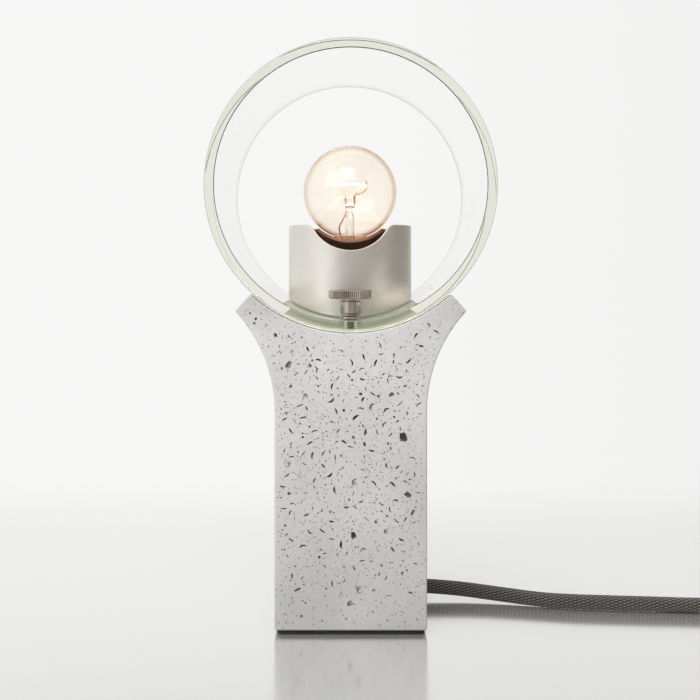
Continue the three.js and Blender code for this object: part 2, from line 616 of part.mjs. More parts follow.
function plugBody() {
  const { x0, x1, y, z, halfY, halfZ } = PLUG;
  const outline = new THREE.Shape();
  outline.moveTo(x0, -halfY);
  outline.lineTo(x0 + 16, -halfY);
  outline.lineTo(x1, -5.4);
  outline.lineTo(x1, 5.4);
  outline.lineTo(x0 + 16, halfY);
  outline.lineTo(x0, halfY);
  outline.closePath();
  const settings = {
    depth: 2 * halfZ - 3, bevelEnabled: true, bevelThickness: 1.5, bevelSize: 1.5, bevelOffset: -1.5, bevelSegments: 1,
  };
  const body = solid(new THREE.ExtrudeGeometry(outline, settings).translate(0, y, z - halfZ + 1.5));
  const pins = [-1, 1].map((side) => across(2.3, x0 - 1, x0 + 6, 16, y + side * PLUG.pinSpread, z));
  return body.subtract(pins[0]).subtract(pins[1]);
}

function addCord() {
  add('cord_run_1', cordRun(CORD_RUN_1, 22), 'braid');
  add('switch_base', switchBase(), 'plastic');
  add('switch_cover', switchCover(), 'plastic');
  add('switch_rocker', rocker(), 'plastic');
  add('switch_sleeve_1', strainRelief(SWITCH.x0 - GAP, -1, SWITCH.y, SWITCH.z, RELIEF.plugged), 'rubber');
  add('switch_sleeve_2', strainRelief(SWITCH.x1 + GAP, 1, SWITCH.y, SWITCH.z, RELIEF.plugged), 'rubber');
  const reel = upright(COIL.outer + GAP, -1, 40, ROUND, COIL.x, COIL.y);
  add('cord_run_2', cordRun(CORD_RUN_2, 10).subtract(reel), 'braid');
  add('cord_coil', cordCoil(), 'braid');
  add('cord_tie', cordTie(), 'rubber');
  add('cord_run_3', cordRun(CORD_RUN_3, 12).subtract(reel), 'braid');
  add('plug_body', plugBody(), 'plastic');
  add('plug_sleeve', strainRelief(PLUG.x1 + GAP, 1, PLUG.y, PLUG.z, 0), 'rubber');
  for (const side of [-1, 1]) {
    const y = PLUG.y + side * PLUG.pinSpread;
    const pin = across(PLUG.pinR, PLUG.x0 - PLUG.pinLength, PLUG.x0 + 5.5, 16, y, PLUG.z);
    add(`plug_pin_${side < 0 ? 1 : 2}`, pin, 'nickel');
  }
}

addStand();
addGlass();
addHousing();
addBulb();
addThumbscrew();
addWiring();
addCord();

export default lamp;
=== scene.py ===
import json
import math
import random

import bmesh
import bpy
import numpy as np
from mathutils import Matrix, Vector
from mathutils.geometry import delaunay_2d_cdt


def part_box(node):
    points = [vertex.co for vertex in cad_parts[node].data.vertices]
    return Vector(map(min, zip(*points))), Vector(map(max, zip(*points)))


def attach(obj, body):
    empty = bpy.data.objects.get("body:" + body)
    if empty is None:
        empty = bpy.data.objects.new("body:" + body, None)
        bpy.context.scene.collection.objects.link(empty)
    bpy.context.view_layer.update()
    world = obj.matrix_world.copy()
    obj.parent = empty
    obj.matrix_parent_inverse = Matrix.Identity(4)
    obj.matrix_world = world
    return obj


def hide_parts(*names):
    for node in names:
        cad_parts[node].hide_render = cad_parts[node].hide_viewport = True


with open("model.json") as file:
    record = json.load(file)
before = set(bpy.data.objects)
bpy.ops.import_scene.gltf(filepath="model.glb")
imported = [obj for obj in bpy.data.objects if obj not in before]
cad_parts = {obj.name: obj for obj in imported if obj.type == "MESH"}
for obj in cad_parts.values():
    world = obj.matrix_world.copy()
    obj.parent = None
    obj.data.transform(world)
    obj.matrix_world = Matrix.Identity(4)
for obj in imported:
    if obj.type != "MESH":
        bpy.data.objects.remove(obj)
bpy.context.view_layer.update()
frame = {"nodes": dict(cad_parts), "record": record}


# ---------------------------------------------------------------- driving sizes, from the frame


def middle(node):
    low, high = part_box(node)
    return (low + high) / 2


def span(node):
    low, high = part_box(node)
    return high - low


GLASS_R = span("glass_shade").z / 2
GLASS_HALF = span("glass_shade").y / 2
AXIS_Z = middle("glass_shade").z
WALL = 0.0045
GLASS_IN = GLASS_R - WALL

STAND_LOW, STAND_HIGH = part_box("concrete_body")
HALF_WIDTH = 0.0338
HALF_DEPTH = STAND_HIGH.y
FLARE_Z = 0.099
FLARE_R = 0.065
CRADLE_R = GLASS_R + 0.001
CRADLE_HALF = math.radians(42.5)

HOUSING_R = span("housing").x / 2
HOUSING_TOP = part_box("housing")[1].z
GLOBE_R = 0.0229
SCREW_Y = middle("thumbscrew").y

CORD_R = 0.0035
COIL_X = middle("cord_coil").x
COIL_Y = middle("cord_coil").y
COIL_OUTER = span("cord_coil").y / 2
COIL_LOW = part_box("cord_coil")[0].z
SWITCH_LOW, SWITCH_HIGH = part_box("switch_cover")
PLUG_LOW, PLUG_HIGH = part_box("plug_body")


# ---------------------------------------------------------------- camera


def add_camera():
    data = bpy.data.cameras.new("camera")
    data.lens = 61.6
    data.sensor_width = 36.0
    data.shift_x = 0.0086
    data.shift_y = -0.1214
    data.clip_start = 0.01
    camera = bpy.data.objects.new("camera", data)
    camera.location = (-0.003, -0.589, 0.1638)
    camera.rotation_euler = (math.radians(90), 0, 0)
    bpy.context.scene.collection.objects.link(camera)
    bpy.context.scene.camera = camera


add_camera()


# ---------------------------------------------------------------- mesh helpers


CORNER_STEPS = 6       # steps round each rounded corner


def circle(sides):
    """Angles evenly round a full turn."""
    return [2 * math.pi * k / sides for k in range(sides)]


def around(r, t, z, y=0.0):
    """The point at radius r and angle t about an upright line through (0, y)."""
    return (r * math.cos(t), y + r * math.sin(t), z)


def smoothed(mesh, crease):
    """Shades a mesh smooth, except across edges sharper than crease degrees."""
    mesh.polygons.foreach_set("use_smooth", [True] * len(mesh.polygons))
    mesh.set_sharp_from_angle(angle=math.radians(crease))


def add_piece(name, shape, body, materials, replaces=(), crease=38, face_slots=None, weld=1e-7,
              values=None):
    """A mesh piece that rides on a CAD body. shape is (points, faces), values {name: number per point}."""
    verts, faces = shape
    mesh = bpy.data.meshes.new(name)
    mesh.from_pydata([tuple(v) for v in verts], [], [tuple(f) for f in faces])
    for key, numbers in (values or {}).items():
        attribute = mesh.attributes.new(key, "FLOAT", "POINT")
        attribute.data.foreach_set("value", np.asarray(numbers, np.float32))
    if face_slots is not None:
        mesh.polygons.foreach_set("material_index", np.asarray(face_slots, np.int32))
    work = bmesh.new()
    work.from_mesh(mesh)
    bmesh.ops.remove_doubles(work, verts=work.verts, dist=weld)
    bmesh.ops.recalc_face_normals(work, faces=work.faces)
    work.to_mesh(mesh)
    work.free()
    smoothed(mesh, crease)
    for item in materials:
        mesh.materials.append(item)
    piece = bpy.data.objects.new(name, mesh)
    bpy.context.scene.collection.objects.link(piece)
    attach(piece, body)
    if replaces:
        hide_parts(*replaces)
    return piece


def filleted(points, steps=4, closed=False):
    """A polyline through (a, b, radius) points, with an arc of that radius at each corner."""
    out = []
    count = len(points)
    for i, (a, b, radius) in enumerate(points):
        here = np.array([a, b])
        end = not closed and i in (0, count - 1)
        if end or radius <= 0:
            out.append((a, b))
            continue
        before = np.array(points[i - 1][:2])
        after = np.array(points[(i + 1) % count][:2])
        u = (before - here) / np.linalg.norm(before - here)
        v = (after - here) / np.linalg.norm(after - here)
        half = math.acos(max(-1, min(1, float(u @ v)))) / 2
        if half > math.radians(89):
            out.append((a, b))
            continue
        room = 0.49 * min(np.linalg.norm(before - here), np.linalg.norm(after - here))
        reach = min(radius / math.tan(half), room)
        bisector = (u + v) / np.linalg.norm(u + v)
        centre = here + bisector * reach / math.cos(half)
        start = here + u * reach - centre
        stop = here + v * reach - centre
        a0 = math.atan2(start[1], start[0])
        turn = math.atan2(start[0] * stop[1] - start[1] * stop[0], float(start @ stop))
        size = np.linalg.norm(start)
        for k in range(steps + 1):
            t = a0 + turn * k / steps
            out.append((centre[0] + size * math.cos(t), centre[1] + size * math.sin(t)))
    return supported(out, closed)


HOLD = 0.0002        # distance from each end of a long flat where an extra row keeps its shading flat


def supported(rows, closed=False):
    """Rows of numbers with an extra row near both ends of each long step between them."""
    out = []
    count = len(rows)
    for i, row in enumerate(rows):
        out.append(tuple(row))
        if i == count - 1 and not closed:
            break
        a, b = np.array(row), np.array(rows[(i + 1) % count])
        length = np.linalg.norm(b - a)
        if length > 6 * HOLD:
            out += [tuple(a + (b - a) * HOLD / length), tuple(b + (a - b) * HOLD / length)]
    return out


def grid(rows, columns):
    """Quads over rows of points that all close on themselves and hold the same number of columns."""
    faces = []
    for i in range(rows - 1):
        for j in range(columns):
            k = (j + 1) % columns
            faces.append((i * columns + j, i * columns + k, (i + 1) * columns + k, (i + 1) * columns + j))
    return faces


def capped_grid(rows, columns):
    return grid(rows, columns) + [tuple(range(columns)), tuple(range((rows - 1) * columns, rows * columns))]


def lathe(profile, sides, centre=(0.0, 0.0), axis="z", offset=0.0, closed=False):
    """A profile of (radius, height) turned about an axis; closed joins its last row to its first."""
    rows = list(profile) + ([profile[0]] if closed else [])
    verts = []
    for r, h in rows:
        for t in circle(sides):
            p, q = r * math.cos(t), r * math.sin(t)
            if axis == "z":
                verts.append((centre[0] + p, centre[1] + q, offset + h))
            elif axis == "y":
                verts.append((centre[0] + p, offset + h, centre[1] + q))
            else:
                verts.append((offset + h, centre[0] + p, centre[1] + q))
    return verts, grid(len(rows), sides)


def smooth_path(points, step):
    """Centripetal Catmull-Rom curve through points, sampled about every step along each stretch."""
    pts = np.array(points, float)
    pts = np.vstack([2 * pts[0] - pts[1], pts, 2 * pts[-1] - pts[-2]])
    out = []
    for i in range(1, len(pts) - 2):
        p0, p1, p2, p3 = pts[i - 1], pts[i], pts[i + 1], pts[i + 2]
        t1 = math.sqrt(np.linalg.norm(p1 - p0))
        t2 = t1 + math.sqrt(np.linalg.norm(p2 - p1))
        t3 = t2 + math.sqrt(np.linalg.norm(p3 - p2))
        count = max(1, round(np.linalg.norm(p2 - p1) / step))
        for k in range(count):
            t = t1 + (t2 - t1) * k / count
            a1 = (t1 - t) / t1 * p0 + t / t1 * p1
            a2 = (t2 - t) / (t2 - t1) * p1 + (t - t1) / (t2 - t1) * p2
            a3 = (t3 - t) / (t3 - t2) * p2 + (t - t2) / (t3 - t2) * p3
            b1 = (t2 - t) / t2 * a1 + t / t2 * a2
            b2 = (t3 - t) / (t3 - t1) * a2 + (t - t1) / (t3 - t1) * a3
            out.append((t2 - t) / (t2 - t1) * b1 + (t - t1) / (t2 - t1) * b2)
    out.append(pts[-2])
    return np.array(out)


def path_frames(path):
    """For each point of a path, its distance along it and two directions square to it that don't twist."""
    ahead = np.gradient(path, axis=0)
    ahead /= np.linalg.norm(ahead, axis=1)[:, None]
    gaps = np.linalg.norm(np.diff(path, axis=0), axis=1)
    distance = np.concatenate([[0], np.cumsum(gaps)])
    first = np.zeros_like(path)
    up = np.array([0.0, 0.0, 1.0]) if abs(ahead[0][2]) < 0.9 else np.array([1.0, 0.0, 0.0])
    side = np.cross(up, ahead[0])
    side /= np.linalg.norm(side)
    for i, t in enumerate(ahead):
        side = side - t * (side @ t)
        side /= np.linalg.norm(side)
        first[i] = side
    return distance, first, np.cross(ahead, first)


def tube(path, radius, sides):
    """A round tube along a path, closed at both ends; radius is a number, or a row of numbers per point."""
    _, first, second = path_frames(path)
    turn = np.array(circle(sides))
    radii = np.broadcast_to(np.asarray(radius, float), (len(path), sides))
    rings = path[:, None, :] + radii[:, :, None] * (
        np.cos(turn)[None, :, None] * first[:, None, :] + np.sin(turn)[None, :, None] * second[:, None, :])
    return rings.reshape(-1, 3).tolist(), capped_grid(len(path), sides)


def joined(*shapes):
    """Several (points, faces) as one shape, and the number of faces that each one gave."""
    verts, faces, counts = [], [], []
    for v, f in shapes:
        start = len(verts)
        verts.extend(v)
        faces.extend(tuple(int(i) + start for i in face) for face in f)
        counts.append(len(f))
    return (verts, faces), counts


def rounded_rectangle(half_x, half_y, corner, steps=CORNER_STEPS):
    """Points round a rectangle with rounded corners, counter-clockwise, as many whatever its size."""
    corner = min(corner, half_x, half_y)
    out = []
    for k, (sx, sy) in enumerate(((1, 1), (-1, 1), (-1, -1), (1, -1))):
        for i in range(steps + 1):
            t = (k + i / steps) * math.pi / 2
            across = sx * (half_x - corner) + corner * math.cos(t)
            out.append((across, sy * (half_y - corner) + corner * math.sin(t)))
    return out


# ---------------------------------------------------------------- material helpers


class Nodes:
    """Short ways to build a node tree."""

    def __init__(self, tree, space):
        self.tree = tree
        self.coordinates = self.add("ShaderNodeTexCoord").outputs[space]

    def add(self, kind, **settings):
        node = self.tree.nodes.new(kind)
        for key, value in settings.items():
            setattr(node, key, value)
        return node

    def link(self, source, target):
        self.tree.links.new(source, target)

    def noise(self, scale, detail=3.0, roughness=0.5, stretch=None):
        node = self.add("ShaderNodeTexNoise")
        node.inputs["Scale"].default_value = scale
        node.inputs["Detail"].default_value = detail
        node.inputs["Roughness"].default_value = roughness
        source = self.coordinates
        if stretch is not None:
            mapping = self.add("ShaderNodeMapping")
            mapping.inputs["Scale"].default_value = stretch
            self.link(source, mapping.inputs["Vector"])
            source = mapping.outputs["Vector"]
        self.link(source, node.inputs["Vector"])
        return node.outputs["Fac"]

    def cells(self, scale, feature="F1"):
        node = self.add("ShaderNodeTexVoronoi", feature=feature)
        node.inputs["Scale"].default_value = scale
        self.link(self.coordinates, node.inputs["Vector"])
        return node.outputs["Distance"]

    def parts(self, vector):
        """The three numbers of a vector."""
        split = self.add("ShaderNodeSeparateXYZ")
        self.link(vector, split.inputs[0])
        return split.outputs

    def attribute(self, name):
        return self.add("ShaderNodeAttribute", attribute_name=name).outputs["Fac"]

    def ramp(self, source, *stops):
        """A colour ramp; each stop is (place, grey) or (place, (r, g, b))."""
        node = self.add("ShaderNodeValToRGB")
        elements = node.color_ramp.elements
        while len(elements) < len(stops):
            elements.new(0.5)
        for element, (place, value) in zip(elements, stops):
            element.position = place
            color = (value,) * 3 if isinstance(value, (int, float)) else value
            element.color = (*color, 1.0)
        self.link(source, node.inputs["Fac"])
        return node.outputs["Color"]

    def math(self, operation, a, b=None):
        node = self.add("ShaderNodeMath", operation=operation)
        for place, value in enumerate((a, b)):
            if value is None:
                continue
            if isinstance(value, (int, float)):
                node.inputs[place].default_value = value
            else:
                self.link(value, node.inputs[place])
        return node.outputs[0]

    def mix(self, factor, a, b, blend="MIX"):
        node = self.add("ShaderNodeMix", data_type="RGBA", blend_type=blend)
        for socket, value in ((node.inputs[0], factor), (node.inputs[6], a), (node.inputs[7], b)):
            if isinstance(value, (int, float)):
                socket.default_value = value
            elif isinstance(value, tuple):
                socket.default_value = (*value, 1.0)
            else:
                self.link(value, socket)
        return node.outputs[2]

    def smooth(self, source, low, high, to_low=0.0, to_high=1.0):
        """A smooth step of a number, from to_low below low to to_high above high."""
        node = self.add("ShaderNodeMapRange", interpolation_type="SMOOTHSTEP")
        limits = {"From Min": low, "From Max": high, "To Min": to_low, "To Max": to_high}
        for socket, value in limits.items():
            node.inputs[socket].default_value = value
        self.link(source, node.inputs["Value"])
        return node.outputs["Result"]


class Surface(Nodes):
    """A node material with one Principled shader and short ways to feed it."""

    def __init__(self, name, color, roughness, metallic=0.0, **sockets):
        self.material = bpy.data.materials.new(name)
        self.material.use_nodes = True
        super().__init__(self.material.node_tree, "Object")
        self.shader = self.tree.nodes["Principled BSDF"]
        self.output = self.tree.nodes["Material Output"]
        self.set("Base Color", (*color, 1.0))
        self.set("Roughness", roughness)
        self.set("Metallic", metallic)
        for key, value in sockets.items():
            self.set(key.replace("_", " "), value)

    def set(self, socket, value):
        self.shader.inputs[socket].default_value = value

    def color(self, source):
        self.link(source, self.shader.inputs["Base Color"])
        return self

    def tones(self, scale, detail, dark, bright):
        """Base colour that drifts between two tones."""
        return self.color(self.ramp(self.noise(scale, detail), (0.3, dark), (0.7, bright)))

    def roughness(self, source, low, high):
        node = self.add("ShaderNodeMapRange")
        node.inputs["To Min"].default_value = low
        node.inputs["To Max"].default_value = high
        self.link(source, node.inputs["Value"])
        self.link(node.outputs["Result"], self.shader.inputs["Roughness"])
        return self

    def bump(self, source, distance, strength=1.0):
        node = self.add("ShaderNodeBump")
        node.inputs["Strength"].default_value = strength
        node.inputs["Distance"].default_value = distance
        self.link(source, node.inputs["Height"])
        self.link(node.outputs["Normal"], self.shader.inputs["Normal"])
        return self

    def fades_to_clear(self, share, tint=(1.0, 1.0, 1.0)):
        """Lets that share of the light straight through, tinted."""
        clear = self.add("ShaderNodeBsdfTransparent")
        clear.inputs["Color"].default_value = (*tint, 1.0)
        both = self.add("ShaderNodeMixShader")
        for place, source in enumerate((share, self.shader.outputs[0], clear.outputs[0])):
            self.link(source, both.inputs[place])
        self.link(both.outputs[0], self.output.inputs["Surface"])
        return self

    def lets_lamps_through(self, tint):
        """Rays from lamps pass the glass unbent, so that they reach what is inside it."""
        return self.fades_to_clear(self.add("ShaderNodeLightPath").outputs["Is Shadow Ray"], tint)

    def absorbs(self, color, density):
        volume = self.add("ShaderNodeVolumeAbsorption")
        volume.inputs["Color"].default_value = (*color, 1.0)
        volume.inputs["Density"].default_value = density
        self.link(volume.outputs[0], self.output.inputs["Volume"])
        return self


# ---------------------------------------------------------------- materials


def concrete_material():
    """Pale cast concrete: soft clouds, fine sand, open pores with painted shade in them, and painted light
    that fades towards the foot.
    """
    s = Surface("cast concrete", (0.6, 0.6, 0.58), 0.82, Specular_IOR_Level=0.35)
    clouds = s.ramp(s.noise(28, 4, 0.55), (0.32, (0.63, 0.637, 0.64)), (0.68, (0.74, 0.747, 0.75)))
    sand = s.ramp(s.noise(1500, 3, 0.7), (0.36, 0.80), (0.62, 1.0))
    speck = s.ramp(s.cells(430), (0.12, 0.45), (0.19, 1.0))
    grained = s.mix(0.9, s.mix(0.6, clouds, sand, "MULTIPLY"), speck, "MULTIPLY")
    # Painted shade: the pit attribute darkens the concrete in and round each pit, standing in for the
    # shadow inside it.
    shade = s.ramp(s.attribute("pit"), (0.0, 1.0), (0.3, (0.62, 0.61, 0.60)), (1.0, (0.07, 0.066, 0.062)))
    # Painted light and shade: the colour is darker towards the foot and brighter up top, standing in for
    # light that falls off downwards, and darker again on the upper lobes, standing in for shade there.
    z = s.parts(s.coordinates)[2]
    rising = s.smooth(z, 0.0, 0.135, 0.84, 1.04)
    lobes = s.smooth(z, 0.128, 0.150, 1.0, 0.82)
    painted_light_and_shade = s.math("MULTIPLY", rising, lobes)
    s.color(s.mix(1.0, s.mix(1.0, grained, shade, "MULTIPLY"), painted_light_and_shade, "MULTIPLY"))
    s.roughness(s.noise(300, 3), 0.72, 0.95)
    height = s.math("ADD", s.noise(900, 5, 0.65), s.math("MULTIPLY", s.noise(160, 3), 0.8))
    return s.bump(height, 0.00022, 0.55).material


def glass_material(name, tint, density):
    s = Surface(name, (0.99, 0.99, 0.985), 0.0, Transmission_Weight=1.0, IOR=1.5)
    s.roughness(s.noise(60, 2), 0.0, 0.012)
    return s.lets_lamps_through((0.97, 0.975, 0.965)).absorbs(tint, density).material


def bulb_glass_material():
    """Thin clear glass that looks amber where it is seen edge-on, with a faint painted warm glow."""
    s = Surface("clear bulb glass", (1.0, 0.985, 0.96), 0.0, Transmission_Weight=1.0, IOR=1.5)
    # Painted glow: a faint warm emission on the glass stands in for the filament's light filling the bulb.
    s.set("Emission Strength", 0.022)
    s.set("Emission Color", (1.0, 0.78, 0.50, 1.0))
    s.roughness(s.noise(60, 2), 0.0, 0.012)
    facing = s.add("ShaderNodeLayerWeight").outputs["Facing"]
    amber = ((0.56, (1.0, 0.975, 0.93)), (0.68, (0.86, 0.71, 0.58)), (0.85, (0.62, 0.40, 0.26)))
    s.color(s.ramp(facing, *amber))
    return s.lets_lamps_through((0.98, 0.95, 0.90)).material


def silicone_material(name, dark, bright, lit=0.0, glow=(0.0, 0.0, 0.0)):
    """Soft silicone; lit and glow set an emission on it, a painted glow that stands in for the light that
    the glass and the lamp carry into it.
    """
    s = Surface(name, bright, 0.5, Emission_Strength=lit)
    s.set("Emission Color", (*glow, 1.0))
    s.tones(220, 3, dark, bright).roughness(s.noise(500, 2), 0.42, 0.6)
    return s.bump(s.noise(1200, 2), 0.00005).material


def housing_material():
    """Satin metal: a fine blasted grain with faint clouds in its gloss."""
    s = Surface("satin aluminium", (0.74, 0.71, 0.68), 0.4, 1.0)
    s.tones(40, 3, (0.72, 0.69, 0.66), (0.78, 0.76, 0.73)).roughness(s.noise(500, 3), 0.36, 0.47)
    return s.bump(s.noise(3800, 2, 0.7), 0.00003, 0.35).material


def phenolic_material():
    """Dark moulded resin with a dull skin."""
    s = Surface("dark moulded resin", (0.018, 0.007, 0.004), 0.5, Specular_IOR_Level=0.15)
    s.tones(120, 4, (0.016, 0.005, 0.002), (0.030, 0.010, 0.005)).roughness(s.noise(900, 3), 0.42, 0.6)
    return s.bump(s.noise(2200, 2), 0.00002, 0.4).material


def metal_material(name, dark, bright, smooth, rough, grain=900):
    """Bare or plated metal, with a roughness that drifts between smooth and rough."""
    s = Surface(name, bright, smooth, 1.0)
    s.tones(60, 3, dark, bright).roughness(s.noise(grain, 3, 0.6), smooth, rough)
    return s.bump(s.noise(grain * 2, 2, 0.6), 0.00001, 0.3).material


def plastic_material(name, dark, bright, smooth, rough, grain, depth):
    """Moulded plastic or rubber with a fine texture of grain cells a metre, depth deep."""
    s = Surface(name, bright, rough)
    s.tones(90, 3, dark, bright).roughness(s.noise(grain / 2, 3), smooth, rough)
    return s.bump(s.cells(grain, "SMOOTH_F1"), depth, 0.6).material


BRAID_STRANDS = 16
BRAID_SHARES = (0.62, 0.38)      # relief of the strands that lean one way, and of those that lean the other
BRAID_LEAD = 0.0038      # how far along the cord a strand goes while it moves over by one strand


def braid_material():
    """Braided textile: slanted strands, with a painted highlight on their crowns and painted shade where
    others cross under them.
    """
    s = Surface("braided textile", (0.1, 0.09, 0.085), 0.85, Sheen_Weight=0.35, Sheen_Roughness=0.5)
    uv = s.add("ShaderNodeUVMap", uv_map="along")
    distance, share, _ = s.parts(uv.outputs[0])
    along = s.math("MULTIPLY", distance, 2 * math.pi / BRAID_LEAD)
    round_ = s.math("MULTIPLY", share, 2 * math.pi * BRAID_STRANDS)
    one = s.math("COSINE", s.math("ADD", along, round_))
    two = s.math("COSINE", s.math("SUBTRACT", along, round_))
    most, rest = BRAID_SHARES
    crown = s.math("ADD", s.math("MULTIPLY", one, most), s.math("MULTIPLY", two, rest))
    # Painted highlight and shade: the colour runs from dark in the dips between strands to light on their
    # crowns.
    crown_light_and_shade = s.ramp(s.smooth(crown, -0.25, 0.75), (0.0, (0.024, 0.022, 0.020)), (1.0, (0.215, 0.202, 0.185)))
    fuzz = s.ramp(s.noise(2600, 3, 0.7), (0.3, 0.7), (0.75, 1.35))
    s.color(s.mix(1.0, crown_light_and_shade, fuzz, "MULTIPLY"))
    height = s.math("ADD", crown, s.math("MULTIPLY", s.noise(4200, 2), 0.35))
    return s.bump(height, 0.00028, 0.9).material


def strap_material():
    s = Surface("woven strap", (0.025, 0.025, 0.027), 0.95, Sheen_Weight=0.3, Sheen_Roughness=0.5)
    warp = s.noise(1, 2, 0.5, (3000, 600, 3000))
    weft = s.noise(1, 2, 0.5, (600, 3000, 600))
    weave = s.math("MULTIPLY", warp, weft)
    s.color(s.ramp(weave, (0.15, (0.012, 0.012, 0.013)), (0.4, (0.045, 0.045, 0.05))))
    return s.bump(s.math("MAXIMUM", warp, weft), 0.00015).material


def wire_material(name, dark, bright):
    s = Surface(name, bright, 0.3, 1.0)
    return s.tones(400, 2, dark, bright).roughness(s.noise(900, 2), 0.24, 0.4).material


def filament_material():
    s = Surface("glowing filament", (1.0, 0.7, 0.4), 0.6, Emission_Strength=28.0)
    hot = s.ramp(s.noise(300, 2), (0.3, (1.0, 0.60, 0.26)), (0.7, (1.0, 0.74, 0.42)))
    s.link(hot, s.shader.inputs["Emission Color"])
    return s.material


def floor_material():
    """Pale glossy table that fades softly into the backdrop at its edges."""
    s = Surface("pale table", (0.90, 0.90, 0.89), 0.2, 0.80)
    s.roughness(s.noise(9, 2), 0.13, 0.17)
    return s.fades_to_clear(s.ramp(s.attribute("fade"), (0.0, 0.0), (1.0, 1.0))).material


CONCRETE = concrete_material()
GLASS = glass_material("clear shade glass", (0.86, 0.87, 0.74), 6.0)
BULB_GLASS = bulb_glass_material()
STEM_GLASS = glass_material("stem glass", (0.8, 0.7, 0.55), 60.0)
LINER = silicone_material("cream silicone", (0.76, 0.69, 0.60), (0.84, 0.78, 0.69))
# Painted shade and glow: the strip's bonded middle is a darker sage that glows, standing in for the shade
# under the housing and the light that the glass wall carries.
PAINTED_SAGE_BAND = silicone_material("sage silicone with painted shade and glow", (0.19, 0.20, 0.155), (0.23, 0.245, 0.19),
                           0.62, (0.34, 0.362, 0.275))
GASKET = silicone_material("sage silicone", (0.36, 0.40, 0.30), (0.44, 0.48, 0.37))
HOUSING = housing_material()
PHENOLIC = phenolic_material()
# Painted light: the holder's inner lip is the same dark resin, painted paler and warmer with a faint glow,
# standing in for the bulb's light falling on it.
PAINTED_LIT_LIP = silicone_material("resin lip with painted bulb light", (0.22, 0.105, 0.065), (0.31, 0.16, 0.10),
                        0.08, (0.42, 0.235, 0.16))
NICKEL = metal_material("polished nickel", (0.34, 0.30, 0.26), (0.60, 0.56, 0.50),
                        0.08, 0.17, 420)
# Painted shade: the shank below the collar is a darker, sage-tinted metal, standing in for the shade on it
# where it sits in the glass's hole.
PAINTED_DARK_THREAD = metal_material("screw thread with painted shade", (0.20, 0.21, 0.165), (0.28, 0.30, 0.235),
                        0.4, 0.55)
BRASS = metal_material("satin brass", (0.62, 0.42, 0.16), (0.76, 0.55, 0.24),
                       0.22, 0.34)
STEEL = metal_material("zinc plated steel", (0.52, 0.52, 0.53), (0.66, 0.66, 0.68),
                       0.28, 0.42)
RUBBER = plastic_material("black rubber", (0.016, 0.016, 0.017), (0.03, 0.03, 0.032),
                          0.55, 0.75, 2600, 0.00006)
PLASTIC = plastic_material("black plastic", (0.018, 0.018, 0.018), (0.03, 0.03, 0.03),
                           0.3, 0.42, 2200, 0.00004)
PORCELAIN = plastic_material("white insulation", (0.72, 0.70, 0.65), (0.82, 0.80, 0.76),
                             0.25, 0.4, 900, 0.00003)
FOOT = plastic_material("foot pad", (0.012, 0.012, 0.014), (0.028, 0.028, 0.03),
                        0.7, 0.9, 1400, 0.0001)
BRAID = braid_material()
STRAP = strap_material()
COPPER = wire_material("bright copper wire", (0.62, 0.27, 0.16), (0.82, 0.45, 0.30))
ANCHOR = wire_material("dull molybdenum wire", (0.30, 0.20, 0.11), (0.42, 0.29, 0.17))
GLOW = filament_material()


# ---------------------------------------------------------------- cord

# Route from the stand to the switch, then to the coil, then from the coil to the plug.
RUN_1 = [
    (0.028, 0, 0.0061), (0.0384, -0.0003, 0.006), (0.0543, -0.0026, 0.0053), (0.0731, -0.0086, 0.0043),
    (0.0913, -0.0153, 0.00365), (0.105, -0.0186, 0.00362), (0.1189, -0.0204, 0.00362),
    (0.142, -0.0228, 0.00362), (0.165, -0.025, 0.00365), (0.179, -0.0265, 0.0048), (0.192, -0.0276, 0.0079),
    (0.2017, -0.028, 0.0086),
]
THROUGH_SWITCH = [
    (0.224, -0.028, 0.0086), (0.236, -0.028, 0.0066), (0.255, -0.028, 0.0062), (0.274, -0.028, 0.0066),
    (0.286, -0.028, 0.0086),
]
RUN_2 = [(0.3083, -0.028, 0.0086), (0.318, -0.028, 0.0076), (0.33, -0.028, 0.0055), (0.34, -0.028, 0.0049)]
RUN_3 = [
    (0.344, 0.0425, 0.0265), (0.331, 0.0425, 0.0261), (0.318, 0.0425, 0.0226), (0.301, 0.0425, 0.0142),
    (0.288, 0.0425, 0.0094), (0.2736, 0.0425, 0.008), (0.262, 0.0425, 0.008), (0.252, 0.0425, 0.008),
]
COIL_TURNS = 6.5
COIL_STEPS = 24                         # points in each turn
AIR = 0.0002                            # clearance beside the cord
LANE = 2 * CORD_R + AIR
# Columns in and layers up of each turn, and the degrees between which a turn moves to its next lane.
LANES = ((0, 0), (1, 0), (1, 1), (0, 1), (0, 2), (1, 2), (1, 3))
MOVE_START, MOVE_END = 195, 245

FINE_STEP = 0.00035                     # spacing of the points that the cord's path is measured on
RELIEF_END = 0.150                      # the strands are modelled up to here, and only drawn beyond it
RELIEF_STEP, PLAIN_STEP = 0.00036, 0.0022
RELIEF = 0.00009                        # how far a strand stands out of the cord
CORD_SIDES = 64


def coil_points():
    """The coil's turns, counter-clockwise from its near side, each moving to its next lane as it closes."""
    outer = COIL_OUTER - CORD_R - AIR
    bottom = COIL_LOW + CORD_R + AIR
    out = []
    for i in range(round(COIL_TURNS * COIL_STEPS) + 1):
        turn, degrees = divmod(i * 360 / COIL_STEPS, 360)
        turn = min(int(turn), len(LANES) - 1)
        angle = degrees - 90
        here, after = LANES[turn], LANES[min(turn + 1, len(LANES) - 1)]
        share = min(1, max(0, (angle - MOVE_START) / (MOVE_END - MOVE_START)))
        share = share * share * (3 - 2 * share)
        column = here[0] + (after[0] - here[0]) * share
        layer = here[1] + (after[1] - here[1]) * share
        radius = outer - column * LANE
        t = math.radians(angle)
        out.append((COIL_X + radius * math.cos(t), COIL_Y + radius * math.sin(t), bottom + layer * LANE))
    return out


